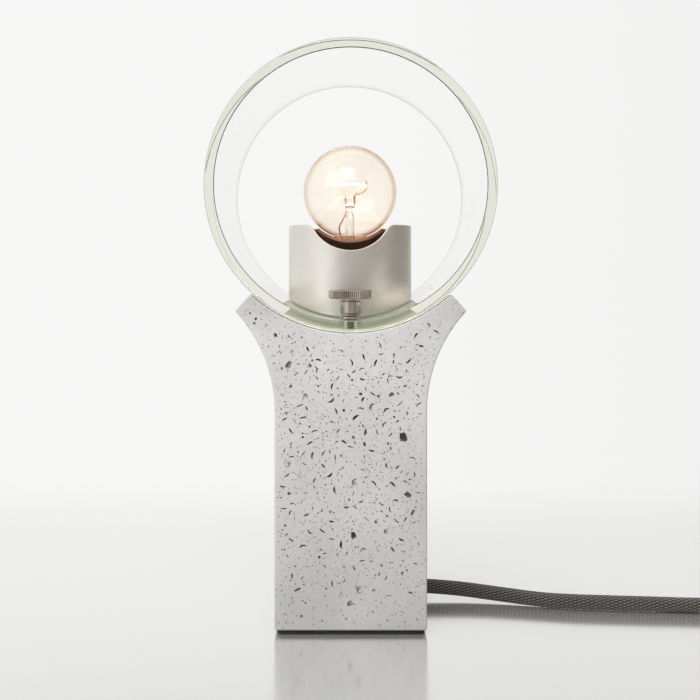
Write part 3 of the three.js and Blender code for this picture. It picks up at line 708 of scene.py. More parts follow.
def add_along(cord, stations, sides):
    """A UV map on the cord: metres along it, and the share of a turn round it."""
    layer = cord.data.uv_layers.new(name="along")
    corner_vert = np.zeros(len(cord.data.loops), np.int32)
    cord.data.loops.foreach_get("vertex_index", corner_vert)
    ring, place = corner_vert // sides, corner_vert % sides
    counts = np.zeros(len(cord.data.polygons), np.int32)
    cord.data.polygons.foreach_get("loop_total", counts)
    owner = np.repeat(np.arange(len(counts)), counts)
    wraps = np.zeros(len(counts), bool)
    np.logical_or.at(wraps, owner, place == sides - 1)
    share = place / sides + ((place == 0) & wraps[owner])
    uv = np.stack([stations[np.minimum(ring, len(stations) - 1)], share], 1)
    layer.data.foreach_set("uv", uv.astype(np.float32).ravel())


def add_cord():
    """The braided cord. Its strands stand out in relief on the stretch nearest the lamp."""
    fine = smooth_path(RUN_1 + THROUGH_SWITCH + RUN_2 + coil_points() + RUN_3, FINE_STEP)
    distance = path_frames(fine)[0]
    length = distance[-1]
    near = np.arange(0, RELIEF_END, RELIEF_STEP)
    stations = np.concatenate([near, np.arange(RELIEF_END, length, PLAIN_STEP), [length]])
    path = np.stack([np.interp(stations, distance, fine[:, k]) for k in range(3)], 1)
    turn = np.array(circle(CORD_SIDES))
    along = stations[:, None] * 2 * math.pi / BRAID_LEAD
    one, two = np.cos(along + BRAID_STRANDS * turn), np.cos(along - BRAID_STRANDS * turn)
    most, rest = BRAID_SHARES
    fades = np.clip((RELIEF_END - stations) / 0.01, 0, 1)[:, None]
    radii = CORD_R - RELIEF + RELIEF * (most * one + rest * two) * fades
    nodes = ("cord_run_1", "cord_run_2", "cord_coil", "cord_run_3")
    shape = tube(path, radii, CORD_SIDES)
    cord = add_piece("power_cord", shape, "lamp", [BRAID], nodes, crease=80, weld=1e-9)
    add_along(cord, stations, CORD_SIDES)
    return cord, path


cord, cord_path = add_cord()


# ---------------------------------------------------------------- pieces on the cord

SLEEVE_GAP = 0.0003                     # from a housing's end to the shoulder of its sleeve
KEY_SLOT = (0.0104, 0.0064)             # half length and half width of the opening round the rocker
KEY_HALF_Y = 0.006
KEY_BEVEL = 0.0004
PIVOT_Z = 0.0132


def relief_profile(plug):
    """A tapered sleeve with grip grooves, hollow for the cord. plug is how far it goes into its housing."""
    wide, thin, length, bore = 0.0056, 0.0045, 0.022, CORD_R + AIR
    outside = [(bore, -plug), (0.0046, -plug), (0.0046, -0.0002), (wide - 0.0003, -0.0002), (wide, 0.0003)]
    for k in range(5):
        at = 0.003 + k * 0.0033
        r = wide + (thin - wide) * at / length
        outside += [(r, at), (r - 0.0008, at + 0.0004), (r - 0.0008, at + 0.0013),
                    (r - 0.0002, at + 0.0017)]
    outside += [(thin + 0.0001, length - 0.0012), (thin - 0.0003, length - 0.0003), (bore + 0.0001, length)]
    return outside + [(bore, length - 0.0004)]


def add_reliefs():
    """Tapered sleeves where the cord enters the switch, on both sides of it, and behind the plug."""
    deep = relief_profile(0.0065)
    shallow = [(r, h) for r, h in relief_profile(0.0) if h >= -0.0002]
    pieces = []
    for name, node, profile, start, way in (
            ("relief_1", "switch_sleeve_1", deep, SWITCH_LOW.x - SLEEVE_GAP, -1),
            ("relief_2", "switch_sleeve_2", deep, SWITCH_HIGH.x + SLEEVE_GAP, 1),
            ("relief_plug", "plug_sleeve", shallow, PLUG_HIGH.x + SLEEVE_GAP, 1)):
        at = middle(node)
        shape = lathe([(r, way * h) for r, h in profile], 32, (at.y, at.z), "x", start, closed=True)
        pieces.append(add_piece(name, shape, "lamp", [RUBBER], (node,), crease=30))
    return pieces


def stacked(rows, centre, mesher=capped_grid):
    """Rings of rounded rectangles, each row (half x, half y, corner, z), joined as mesher says."""
    rows = supported(rows)
    verts = []
    for half_x, half_y, corner, z in rows:
        verts += [(centre[0] + x, centre[1] + y, z) for x, y in rounded_rectangle(half_x, half_y, corner)]
    return verts, mesher(len(rows), 4 * (CORNER_STEPS + 1))


def switch_cover_mesh(centre, half_x, half_y):
    """The upper half: a domed shell, hollow below, with a slot on top for the rocker."""
    low, top = SWITCH_LOW.z, SWITCH_HIGH.z
    wall, edge, corner, dome, inward = 0.0012, 0.0004, 0.007, 0.005, 0.0035
    slot_x, slot_y = KEY_SLOT
    rows = [(half_x, half_y, corner, low), (half_x, half_y, corner, top - dome)]
    for k in range(1, 8):
        t = k / 7 * math.pi / 2
        inset, rise = inward * (1 - math.cos(t)), dome * math.sin(t)
        rows.append((half_x - inset, half_y - inset, corner - inset * 0.6, top - dome + rise))
    rows += [(slot_x + 0.0012, slot_y + 0.0012, 0.0014, top),
             (slot_x + 0.0008, slot_y + 0.0008, 0.0012, top - edge / 4),
             (slot_x, slot_y, 0.0008, top - edge), (slot_x, slot_y, 0.0008, low + wall),
             (half_x - wall, half_y - wall, 0.006, low + wall), (half_x - wall, half_y - wall, 0.006, low),
             (half_x, half_y, corner, low)]
    return stacked(rows, centre, grid)


def switch_base_mesh(centre, half_x, half_y):
    """The lower half: a shallow tray with a rounded underside."""
    low, high = (end.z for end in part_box("switch_base"))
    corner, round_r = 0.007, 0.0022
    rows = [(half_x - 0.004, half_y - 0.004, 0.004, low)]
    for k in range(5):
        t = k / 4 * math.pi / 2
        inset, rise = round_r * (1 - math.sin(t)), round_r * (1 - math.cos(t))
        rows.append((half_x - inset, half_y - inset, corner - inset * 0.5, low + rise))
    rows += [(half_x, half_y, corner, high - 0.0004), (half_x - 0.0003, half_y - 0.0003, 0.0068, high),
             (half_x - 0.002, half_y - 0.002, 0.0055, high)]
    return stacked(rows, centre)


def bevelled_prism(outline, half_y, centre):
    """A side outline of (x, z) points pushed to both sides along Y, with every edge rounded."""
    work = bmesh.new()
    sides = []
    for way in (-1, 1):
        y = centre[1] + way * half_y
        sides.append([work.verts.new((centre[0] + x, y, centre[2] + z)) for x, z in outline])
    near, far = sides
    work.faces.new(near)
    work.faces.new(far[::-1])
    for i in range(len(outline)):
        j = (i + 1) % len(outline)
        work.faces.new((near[j], near[i], far[i], far[j]))
    bmesh.ops.bevel(work, geom=work.edges[:], offset=KEY_BEVEL, segments=3, affect="EDGES", profile=0.5)
    work.verts.index_update()
    shape = [v.co[:] for v in work.verts], [[v.index for v in f.verts] for f in work.faces]
    work.free()
    return shape


def rocker_outline():
    """Side view of the rocker about its pivot: a shallow valley on top, tilted as it rests when off."""
    half, tilt = 0.009, math.radians(8)
    top = [(half * (1 - k / 8), 0.0058 + 0.0007 * (1 - k / 8) ** 2) for k in range(17)]
    flat = [(-half, 0.003), (-0.0026, -0.002), (0.0026, -0.002), (half, 0.003)] + top
    c, s = math.cos(tilt), math.sin(tilt)
    return [(x * c + z * s, z * c - x * s) for x, z in flat]


def add_switch():
    """The inline switch: two halves of its case and the rocker between them."""
    centre = middle("switch_base")
    half_x, half_y = span("switch_base").x / 2, span("switch_base").y / 2
    key = bevelled_prism(rocker_outline(), KEY_HALF_Y, (centre.x, centre.y, PIVOT_Z))
    pieces = []
    for name, shape, body, node in (
            ("switch_lower_half", switch_base_mesh(centre, half_x, half_y), "lamp", "switch_base"),
            ("switch_upper_half", switch_cover_mesh(centre, half_x, half_y), "lamp", "switch_cover"),
            ("switch_key", key, "rocker", "switch_rocker")):
        pieces.append(add_piece(name, shape, body, [PLASTIC], (node,), crease=30))
    return pieces


def plug_shell():
    """The plug's flat body, which narrows to the cord, with grip ribs on its sides."""
    at = middle("plug_body")
    half_y, half_z = span("plug_body").y / 2, span("plug_body").z / 2
    length = PLUG_HIGH.x - PLUG_LOW.x
    rows, steps = 43, 5
    verts = []
    for k in range(rows):
        share = k / (rows - 1)
        waist = 1 if share < 0.36 else 1 - 0.58 * math.sin((share - 0.36) / 0.64 * math.pi / 2) ** 1.3
        flat = 1 - 0.12 * share
        rib = 0.0004 if 0.4 < share < 0.86 and k % 4 < 2 else 0.0
        rim = 0.0011 * max(0, 1 - min(share, 1 - share) * 26) ** 2
        ring = rounded_rectangle(half_y * waist - rib - rim, half_z * flat - rim, 0.0048, steps)
        verts += [(PLUG_LOW.x + share * length, at.y + y, at.z + z) for y, z in ring]
    return verts, capped_grid(rows, 4 * (steps + 1))


def plug_pin(node):
    """A round pin with a domed tip and a sleeve on its inner half, and which material each face has."""
    tip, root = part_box(node)
    at = middle(node)
    reach, sleeve_end = root.x - tip.x, 0.0095
    metal = filleted([(0, 0, 0), (0.00195, 0, 0.0012), (0.00195, sleeve_end, 0.0002),
                      (0.0017, sleeve_end, 0), (0.0017, reach - 0.001, 0), (0, reach - 0.001, 0)], 6)
    sleeve = filleted([(0.00175, sleeve_end, 0), (0.002, sleeve_end, 0.0001), (0.002, reach, 0.0001),
                       (0, reach, 0)], 3)
    shape, counts = joined(*(lathe(profile, 28, (at.y, at.z), "x", tip.x) for profile in (metal, sleeve)))
    return shape, [0] * counts[0] + [1] * counts[1]


def add_plug():
    """A slim two-pin plug."""
    pieces = [add_piece("plug_shell", plug_shell(), "lamp", [PLASTIC], ("plug_body",),
                        crease=40)]
    for number in (1, 2):
        node = f"plug_pin_{number}"
        shape, slots = plug_pin(node)
        pin = add_piece(f"plug_contact_{number}", shape, "lamp", [NICKEL, PLASTIC], (node,),
                        face_slots=slots)
        pieces.append(pin)
    return pieces


def add_strap():
    """A woven strap closed round the coil."""
    size, centre = span("cord_tie"), middle("cord_tie")
    width, thick, edge = 0.004, 0.0004, 0.0002
    loop = rounded_rectangle(size.x / 2 - thick, size.z / 2 - thick, 0.0032, 8)
    rows = []
    for k, (x, z) in enumerate(loop):
        along = Vector(loop[(k + 1) % len(loop)]) - Vector(loop[k - 1])
        rows.append(((centre.x + x, centre.z + z), Vector((along.y, -along.x)).normalized()))
    section = filleted([(-width, -thick, edge), (width, -thick, edge), (width, thick, edge),
                        (-width, thick, edge)], 2, closed=True)
    verts = []
    for (x, z), n in rows + rows[:1]:
        verts += [(x + n.x * t, centre.y + w, z + n.y * t) for w, t in section]
    shape = verts, grid(len(rows) + 1, len(section))
    return add_piece("coil_strap", shape, "lamp", [STRAP], ("cord_tie",), crease=60)


on_cord = add_reliefs() + add_switch() + add_plug() + [add_strap()]


# ---------------------------------------------------------------- concrete stand

FILLET = 0.0007                         # rounding of the front and back edges
FILLET_STEPS = 6
CORNER = 0.0008                         # rounding of the corners of the outline
FLAT_STEP, CURVE_STEP, TIP_STEP = 0.002, 0.0012, 0.0008         # spacing of the outline's points
GROOVE_HALF = 0.0044                    # half the width of the groove that the cord leaves by
GROOVE_TOP = 0.0104
GROOVE_IN = 0.027                       # X of its inner end
CLEAR = 0.0005                          # no loose points this near the groove
CAP_REACH = 0.052                       # half width of the area where pits are drawn on an end face
CAP_MARGIN, WRAP_MARGIN = 0.0016, 0.0022        # plain concrete between a pit and the edges
WRAP_DENSITY = 0.33                     # share of the pits kept on the face that goes round
PIT_CELL = 0.0024                       # size of the squares that sort pits by place
PIT_REACH = 0.0026                      # reach allowed for in a neighbour, when looking for room
PIT_GAP = 0.0001                        # plain concrete between two pits


def arc(centre, radius, start, stop, step):
    count = max(2, math.ceil(abs(stop - start) * radius / step))
    return [(centre[0] + radius * math.cos(start + (stop - start) * k / count),
             centre[1] + radius * math.sin(start + (stop - start) * k / count)) for k in range(count + 1)]


def line(a, b, step):
    count = max(1, math.ceil(math.dist(a, b) / step))
    return [(a[0] + (b[0] - a[0]) * k / count, a[1] + (b[1] - a[1]) * k / count) for k in range(count + 1)]


def trimmed(points):
    """A polyline shortened at both ends, to leave room for rounded corners."""
    pts = [Vector(p) for p in points]
    for _ in range(2):
        gone = CORNER
        while (pts[1] - pts[0]).length <= gone:
            gone -= (pts[1] - pts[0]).length
            pts.pop(0)
        pts[0] = pts[0].lerp(pts[1], gone / (pts[1] - pts[0]).length)
        pts.reverse()
    return [tuple(p) for p in pts]


def stand_outline():
    """Front outline of the stand, counter-clockwise from its lower left, with small rounded corners."""
    s, c = math.sin(CRADLE_HALF), math.cos(CRADLE_HALF)
    flare_x = HALF_WIDTH + FLARE_R
    drop = AXIS_Z - FLARE_Z
    half = s * flare_x + c * drop
    reach = half - math.sqrt(half ** 2 - (flare_x ** 2 + drop ** 2 - FLARE_R ** 2))
    tip = (reach * s, AXIS_Z - reach * c)
    lip = (CRADLE_R * s, AXIS_Z - CRADLE_R * c)
    flare = math.atan2(tip[1] - FLARE_Z, flare_x - tip[0])
    low = STAND_LOW.z
    right = line((HALF_WIDTH, low), (HALF_WIDTH, FLARE_Z), FLAT_STEP)
    right += arc((flare_x, FLARE_Z), FLARE_R, math.pi, math.pi - flare, CURVE_STEP)[1:]
    end = line(tip, lip, TIP_STEP)
    cradle = arc((0, AXIS_Z), CRADLE_R, CRADLE_HALF - math.pi / 2, -CRADLE_HALF - math.pi / 2, CURVE_STEP)
    mirror = [[(-x, z) for x, z in reversed(part)] for part in (right, end)]
    bottom = line((-HALF_WIDTH, low), (HALF_WIDTH, low), FLAT_STEP)
    parts = [trimmed(part) for part in (bottom, right, end, cradle, mirror[1], mirror[0])]
    corners = [(HALF_WIDTH, low), tip, lip, (-lip[0], lip[1]), (-tip[0], tip[1]), (-HALF_WIDTH, low)]
    points = []
    for part, corner in zip(parts, corners):
        points += part
        after = parts[(parts.index(part) + 1) % len(parts)][0]
        a, b, k = Vector(part[-1]), Vector(after), Vector(corner)
        for i in range(1, CORNER_STEPS + 1):
            t = i / (CORNER_STEPS + 1)
            points.append(tuple((1 - t) ** 2 * a + 2 * t * (1 - t) * k + t * t * b))
    return np.array(points)


def outline_normals(points):
    ahead = np.roll(points, -1, 0) - np.roll(points, 1, 0)
    ahead /= np.linalg.norm(ahead, axis=1)[:, None]
    return np.stack([ahead[:, 1], -ahead[:, 0]], 1)


def inside(points, polygon):
    """True for each point that lies in the polygon, by counting crossings."""
    x, y = points[:, 0], points[:, 1]
    crossings = np.zeros(len(points), int)
    for (x0, y0), (x1, y1) in zip(polygon, np.roll(polygon, -1, 0)):
        if y0 != y1:
            crossings += ((y0 > y) != (y1 > y)) & (x < (x1 - x0) * (y - y0) / (y1 - y0) + x0)
    return crossings % 2 == 1


# kind: (how many a square metre, half length from and to, narrowest and widest share, points)
PIT_KINDS = {
    "hollow": (1900, 0.0013, 0.0029, 0.5, 0.9, 15),
    "shard": (110000, 0.0005, 0.0022, 0.13, 0.36, 8),
    "bubble": (20000, 0.0004, 0.0010, 0.7, 1.0, 9),
    "grain": (130000, 0.00035, 0.0007, 0.3, 0.8, 5),
}


def pit_shapes(rng, area):
    """The pits for an area, largest first: a few hollows, shards and round bubbles, and many grains."""
    shapes = []
    for kind, (per_square, low, high, *_) in PIT_KINDS.items():
        for _ in range(round(area * per_square)):
            shapes.append((kind, low + (high - low) * rng.random() ** 2.0))
    shapes.sort(key=lambda shape: -shape[1])
    return shapes


def pit_rim(kind, size, rng):
    """Points round a pit about its own centre, its depth and how dark its painted shade is."""
    *_, narrow, wide, count = PIT_KINDS[kind]
    thin = narrow + (wide - narrow) * rng.random()
    rough = 0.05 if kind == "bubble" else 0.36
    bend = (rng.random() - 0.5) * (1.2 if kind == "shard" else 0.3)
    turn = rng.random() * math.pi
    rim = []
    for k in range(count):
        t = 2 * math.pi * (k + (0.0 if kind == "bubble" else 0.4 * rng.random())) / count
        r = size * (1 - rough * rng.random())
        x, y = r * math.cos(t), r * thin * math.sin(t)
        y += bend * x * x / size
        rim.append((x * math.cos(turn) - y * math.sin(turn), x * math.sin(turn) + y * math.cos(turn)))
    depth = min(size * (0.35 + 0.45 * rng.random()), 0.0013)
    return rim, depth, 0.5 + 0.5 * rng.random()


def pitted_sheet(border, allowed, low, high, rng, density, extra=(), extra_edges=()):
    """A flat sheet triangulated round seeded pits: points, depths, painted pit shade and triangles."""
    points = [tuple(p) for p in border] + [tuple(p) for p in extra]
    count = len(border)
    edges = [(i, (i + 1) % count) for i in range(count)] + list(extra_edges)
    depths = [0.0] * len(points)
    dark = [0.0] * len(points)
    taken = {}

    def free(x, y, size):
        reach = int((size + PIT_REACH) / PIT_CELL) + 1
        cx, cy = int(x // PIT_CELL), int(y // PIT_CELL)
        for i in range(cx - reach, cx + reach + 1):
            for j in range(cy - reach, cy + reach + 1):
                for ox, oy, other in taken.get((i, j), ()):
                    if math.hypot(ox - x, oy - y) < size + other + PIT_GAP:
                        return False
        return True

    area = (high[0] - low[0]) * (high[1] - low[1])
    for kind, size in pit_shapes(rng, area):
        x = low[0] + (high[0] - low[0]) * rng.random()
        y = low[1] + (high[1] - low[1]) * rng.random()
        keep = rng.random()
        rim, depth, pit_shade = pit_rim(kind, size, rng)
        reach = max(math.hypot(*p) for p in rim)
        if keep > density(x, y) or not allowed(x, y, reach + 0.0002) or not free(x, y, reach):
            continue
        taken.setdefault((int(x // PIT_CELL), int(y // PIT_CELL)), []).append((x, y, reach))
        # Each ring is (scale, share of the depth, share of the painted shade): the pit is painted darker
        # towards its middle, standing in for the shadow in it.
        rings = ((1.0, 0.0, 0.0), (0.72, 1.0, 1.0))
        if kind != "grain":
            rings = ((1.0, 0.0, 0.0), (0.86, 0.5, 0.9), (0.5, 0.95, 1.0))
        for scale, share, darkness in rings:
            start = len(points)
            for px, py in rim:
                points.append((x + px * scale, y + py * scale))
                depths.append(depth * share)
                dark.append(pit_shade * darkness)
            edges += [(start + i, start + (i + 1) % len(rim)) for i in range(len(rim))]
        if kind != "grain":
            points.append((x, y))
            depths.append(depth)
            dark.append(pit_shade)
    result = delaunay_2d_cdt([Vector(p) for p in points], edges, [], 0, 1e-9)
    out, _, faces, origin = result[:4]
    flat = np.array([tuple(p) for p in out])
    keep_depth = np.array([max((depths[i] for i in ids), default=0.0) for ids in origin])
    keep_pit_shade = np.array([max((dark[i] for i in ids), default=0.0) for ids in origin])
    triangles = np.array([tuple(f) for f in faces])
    centres = flat[triangles].mean(1)
    triangles = triangles[inside(centres, np.array(border))]
    return flat, keep_depth, keep_pit_shade, triangles


def filler(low, high, step, allowed):
    """A loose lattice of points that keeps the triangles of a sheet even."""
    out = []
    nx, ny = int((high[0] - low[0]) / step), int((high[1] - low[1]) / step)
    for i in range(1, nx):
        for j in range(1, ny):
            x = low[0] + (i + 0.5 * (j % 2)) * (high[0] - low[0]) / nx
            y = low[1] + j * (high[1] - low[1]) / ny
            if allowed(x, y, 0.002):
                out.append((x, y))
    return out


def cap_allowed(x, z, reach):
    """Whether a pit of that reach keeps clear of the edges of an end face."""
    margin = reach + CAP_MARGIN
    if z < STAND_LOW.z + margin:
        return False
    if math.hypot(x, z - AXIS_Z) < CRADLE_R + margin:
        return False
    if z <= FLARE_Z:
        return abs(x) < HALF_WIDTH - margin
    if math.hypot(abs(x) - HALF_WIDTH - FLARE_R, z - FLARE_Z) < FLARE_R + margin:
        return False
    return math.atan2(abs(x), AXIS_Z - z) < CRADLE_HALF - margin / CRADLE_R


def cap_density(_, z):
    """Share of the pits that an end face keeps at height z: fewer near the foot and up on the lobes."""
    near_foot = min(1, max(0.25, (z - 0.012) / 0.03))
    lobes = 1.0 if z < 0.118 else max(0.3, 1 - (z - 0.118) / 0.02)
    return near_foot * lobes * (1.0 if z > 0.05 else 0.75)


def cap_parts(outline, normals):
    """The two pitted end faces and their rounded edges, each as (points, painted pit shade, faces)."""
    cap = outline - normals * FILLET
    low, high = (-CAP_REACH, STAND_LOW.z), (CAP_REACH, STAND_HIGH.z)
    loose = filler(low, high, 0.004, cap_allowed)
    parts = []
    for side, seed in ((-1, 5), (1, 6)):
        rng = random.Random(seed)
        flat, depth, dark, triangles = pitted_sheet(cap, cap_allowed, low, high, rng, cap_density, loose)
        y = side * (HALF_DEPTH - depth)
        parts.append((np.stack([flat[:, 0], y, flat[:, 1]], 1).tolist(), dark.tolist(), triangles))
        points = []
        for k in range(FILLET_STEPS + 1):
            t = k / FILLET_STEPS * math.pi / 2
            ring = outline - normals * FILLET * (1 - math.sin(t))
            at = side * (HALF_DEPTH - FILLET * (1 - math.cos(t)))
            points += [(x, at, z) for x, z in ring]
        parts.append((points, [0.0] * len(points), grid(FILLET_STEPS + 1, len(outline))))
    return parts


def wrap_places(outline, place):
    """Distances along the outline: the groove's two ends, the foot of the wall and the end of the pits."""
    count = len(outline)
    groove_start = float(np.interp(GROOVE_IN, outline[: count // 6][:, 0], place[: count // 6]))
    wall = [i for i in range(count) if abs(outline[i][0] - HALF_WIDTH) < 1e-6 and outline[i][1] < FLARE_Z]
    groove_end = float(np.interp(GROOVE_TOP, outline[wall][:, 1], place[wall]))
    flare = [i for i in range(count) if outline[i][0] > HALF_WIDTH + 1e-6 and outline[i][1] > FLARE_Z]
    last = min(flare, key=lambda i: abs(outline[i][1] - (AXIS_Z - 0.0595)))
    return groove_start, groove_end, float(place[wall[0]]), float(place[last])


def wrap_part(outline, normals, place):
    """The pitted face that goes round the stand, less the groove, and the outline across the groove."""
    total, half = place[-1], HALF_DEPTH - FILLET
    s0, s1, foot, last = wrap_places(outline, place)

    def allowed(s, y, reach):
        margin = reach + WRAP_MARGIN
        if abs(y) > half - margin:
            return False
        start = foot if abs(y) > GROOVE_HALF + margin else s1
        mirrored = total - s + 2 * HALF_WIDTH
        return start + margin < s < last - margin or foot + margin < mirrored < last - margin

    border = [(s, -half) for s in place[:-1]] + [(total, -half), (total, half)]
    border += [(s, half) for s in place[-2::-1]]
    inner = [s for s in place[:-1] if s0 < s < s1]
    across = [s0, *inner, s1]
    rim = [(s, -GROOVE_HALF) for s in across] + [(s, GROOVE_HALF) for s in reversed(across)]
    rim_edges = [(len(border) + i, len(border) + (i + 1) % len(rim)) for i in range(len(rim))]
    lines = []
    for s in place[:-1]:
        for y in np.linspace(-half, half, 31)[1:-1]:
            near_groove = s0 - CLEAR < s < s1 + CLEAR and abs(y) < GROOVE_HALF + CLEAR
            if not near_groove:
                lines.append((float(s), float(y)))
    rng = random.Random(11)
    flat, depth, dark, triangles = pitted_sheet(border, allowed, (0, -half), (total, half), rng,
                                                lambda s, y: WRAP_DENSITY, rim + lines, rim_edges)
    centres = flat[triangles].mean(1)
    hole = (centres[:, 0] > s0) & (centres[:, 0] < s1) & (np.abs(centres[:, 1]) < GROOVE_HALF)
    loop, turned = np.vstack([outline, outline[:1]]), np.vstack([normals, normals[:1]])
    x, z = (np.interp(flat[:, 0], place, loop[:, k]) - np.interp(flat[:, 0], place, turned[:, k]) * depth
            for k in (0, 1))
    edge = [tuple(float(np.interp(s, place, loop[:, k])) for k in (0, 1)) for s in across]
    return (np.stack([x, flat[:, 1], z], 1).tolist(), dark.tolist(), triangles[~hole]), edge


def groove_parts(edge):
    """The two sides, the roof and the inner end of the groove that the cord leaves by."""
    g, inner = GROOVE_HALF, (GROOVE_IN, GROOVE_TOP)
    outline = edge + [inner]
    polygons = [[(x, y, z) for x, z in outline] for y in (-g, g)]
    polygons.append([(inner[0], -g, inner[1]), (edge[-1][0], -g, inner[1]), (edge[-1][0], g, inner[1]),
                     (inner[0], g, inner[1])])
    polygons.append([(edge[0][0], -g, edge[0][1]), (edge[0][0], g, edge[0][1]), (inner[0], g, inner[1]),
                     (inner[0], -g, inner[1])])
    return [(points, [0.0] * len(points), [tuple(range(len(points)))]) for points in polygons]


def add_stand():
    """The cast stand, all of it one piece; its pit attribute paints shade on the points inside the pits."""
    outline = stand_outline()
    normals = outline_normals(outline)
    gaps = np.linalg.norm(np.roll(outline, -1, 0) - outline, axis=1)
    place = np.concatenate([[0], np.cumsum(gaps)])
    sheet, edge = wrap_part(outline, normals, place)
    parts = cap_parts(outline, normals) + [sheet] + groove_parts(edge)
    shape, _ = joined(*((points, faces) for points, _, faces in parts))
    pits = [number for _, darkness, _ in parts for number in darkness]
    add_piece("concrete_stand", shape, "lamp", [CONCRETE], ("concrete_body",), crease=24,
              values={"pit": pits}, weld=2e-7)


def add_pad():
    """Thin foot pad under the stand, with rounded edges."""
    low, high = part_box("base_pad")
    half_x, half_y = span("base_pad").x / 2, span("base_pad").y / 2
    rows = []
    for inset, corner, z in (
            (0.003, 0.002, low.z), (0.0005, 0.002, low.z), (0.0001, 0.0022, low.z + 0.0002),
            (0, 0.0023, low.z + 0.0005), (0, 0.0023, high.z - 0.0003), (0.0003, 0.002, high.z),
            (0.003, 0.002, high.z)):
        rows.append((half_x - inset, half_y - inset, corner, z))
    shape = stacked(rows, middle("base_pad"))
    add_piece("foot_pad", shape, "lamp", [FOOT], ("base_pad",), crease=40)


add_stand()
add_pad()


# ---------------------------------------------------------------- glass tube

ROD_HOLE_R = 0.0055
SCREW_HOLE_R = 0.003
RIM = 0.0004                            # rounding of the rims


def drilled(piece, holes, low, high):
    """Cuts upright round holes of (x, y, radius) through a piece, between two heights."""
    cutters = []
    for x, y, radius in holes:
        work = bmesh.new()
        bmesh.ops.create_cone(work, cap_ends=True, segments=96, radius1=radius, radius2=radius,
                              depth=high - low)
        bmesh.ops.translate(work, verts=work.verts, vec=(x, y, (low + high) / 2))
        mesh = bpy.data.meshes.new("cutter")
        work.to_mesh(mesh)
        work.free()
        cutter = bpy.data.objects.new("cutter", mesh)
        bpy.context.scene.collection.objects.link(cutter)
        modifier = piece.modifiers.new("hole", "BOOLEAN")
        modifier.object = cutter
        modifier.solver = "EXACT"
        cutters.append(cutter)
    bpy.context.view_layer.update()
    piece_with_holes = piece.evaluated_get(bpy.context.evaluated_depsgraph_get())
    mesh = bpy.data.meshes.new_from_object(piece_with_holes)
    piece.modifiers.clear()
    piece.data = mesh
    smoothed(mesh, 35)
    for cutter in cutters:
        bpy.data.objects.remove(cutter)


def add_glass():
    """The tube with fire-polished rims and two holes underneath, for the tie rod and the thumbscrew."""
    reach = GLASS_HALF - RIM
    around_holes = [SCREW_Y - 0.0045, SCREW_Y + 0.0045, -0.007, 0.007]
    rows = sorted([-reach + HOLD, reach - HOLD, *around_holes])
    arcs = []
    inner, outer = GLASS_IN + RIM, GLASS_R - RIM
    for r, h, start in ((inner, -reach, 180), (outer, -reach, 270), (outer, reach, 0), (inner, reach, 90)):
        turn = [math.radians(start + 90 * k / 8) for k in range(9)]
        arcs.append([(r + RIM * math.cos(t), h + RIM * math.sin(t)) for t in turn])
    flat = (inner + HOLD, outer - HOLD)
    profile = arcs[0] + [(r, -GLASS_HALF) for r in flat] + arcs[1] + [(GLASS_R, h) for h in rows] + arcs[2]
    profile += [(r, GLASS_HALF) for r in reversed(flat)] + arcs[3] + [(GLASS_IN, h) for h in reversed(rows)]
    shape = lathe(profile, 288, (0.0, AXIS_Z), "y", 0.0, closed=True)
    glass = add_piece("glass_tube", shape, "lamp", [GLASS], ("glass_shade",), crease=35)
    drilled(glass, [(0, 0, ROD_HOLE_R), (0, SCREW_Y, SCREW_HOLE_R)], AXIS_Z - GLASS_R - 0.002,
            AXIS_Z - GLASS_IN + 0.004)


BOND = 0.0005                           # how far the bonded part of the strip stands into the glass
BOND_HALF = math.radians(27.6)          # half the angle over which it is bonded
LINER_HALF = math.radians(41.8)         # half the angle of the whole strip
LINER_GAP = 0.00025                     # air between its free edges and the glass


def add_liner():
    """Soft strip between the glass and the cradle. Along its middle it is bonded to the glass, where it
    shows through the end of the wall in a darker sage with a painted glow, standing in for the shade under
    the housing and for the light that the wall carries; its own edges are cream."""
    half = span("cradle_liner").y / 2
    outer = CRADLE_R - 0.0003
    angles = [LINER_HALF * (2 * k / 90 - 1) for k in range(91)]
    verts = []
    for y in (-half, half):
        for t in angles:
            step = min(1, max(0, (BOND_HALF - abs(t)) / math.radians(0.6)))
            for r in (GLASS_R + LINER_GAP - (LINER_GAP + BOND) * step, outer):
                verts.append((r * math.sin(t), y, AXIS_Z - r * math.cos(t)))
    n = len(angles)
    faces, tones = [], []
    for k in range(n - 1):
        a, b = 2 * k, 2 * (k + 1)
        c, d = a + 2 * n, b + 2 * n
        faces += [(a, b, d, c), (a + 1, c + 1, d + 1, b + 1), (a, a + 1, b + 1, b), (c, d, d + 1, c + 1)]
        # Faces of the bonded middle take the painted sage band.
        bonded = abs(angles[k] + angles[k + 1]) / 2 < BOND_HALF
        tones += [int(bonded), 0, 0, 0]
    faces += [(0, 2 * n, 2 * n + 1, 1), (2 * n - 2, 2 * n - 1, 4 * n - 1, 4 * n - 2)]
    add_piece("cradle_strip", (verts, faces), "lamp", [LINER, PAINTED_SAGE_BAND], ("cradle_liner",),
              crease=40, face_slots=tones + [0, 0])


add_glass()
add_liner()


# ---------------------------------------------------------------- housing and lampholder

NOTCH_R = 0.020
NOTCH_Z = 0.1908
SHOULDER_R = 0.005
FLAT_X = 0.0213
BORE_R = 0.0183
SEAT_Z = 0.1455
SADDLE_R = GLASS_IN - 0.0003
EDGE = 0.0006                           # rounding of the housing's top edge
EDGE_STEPS = 4

HOLDER_SIDES = 144
HOLDER_SADDLE_R = 0.0249                # the holder's rim follows this circle about the tube's axis
LIP_SADDLE_R = 0.0235                   # and its inner lip follows this one
LIP_R = 0.0166                          # outer radius of the lip
SHELL_R = 0.0088                        # radius of the screw shell
CONE_LOW, CONE_RISE = 0.1709, 0.0112    # the cone's foot, and how much it rises
CONE_R, CONE_GAIN = 0.0089, 0.0083      # its radius at the foot, and how much that grows


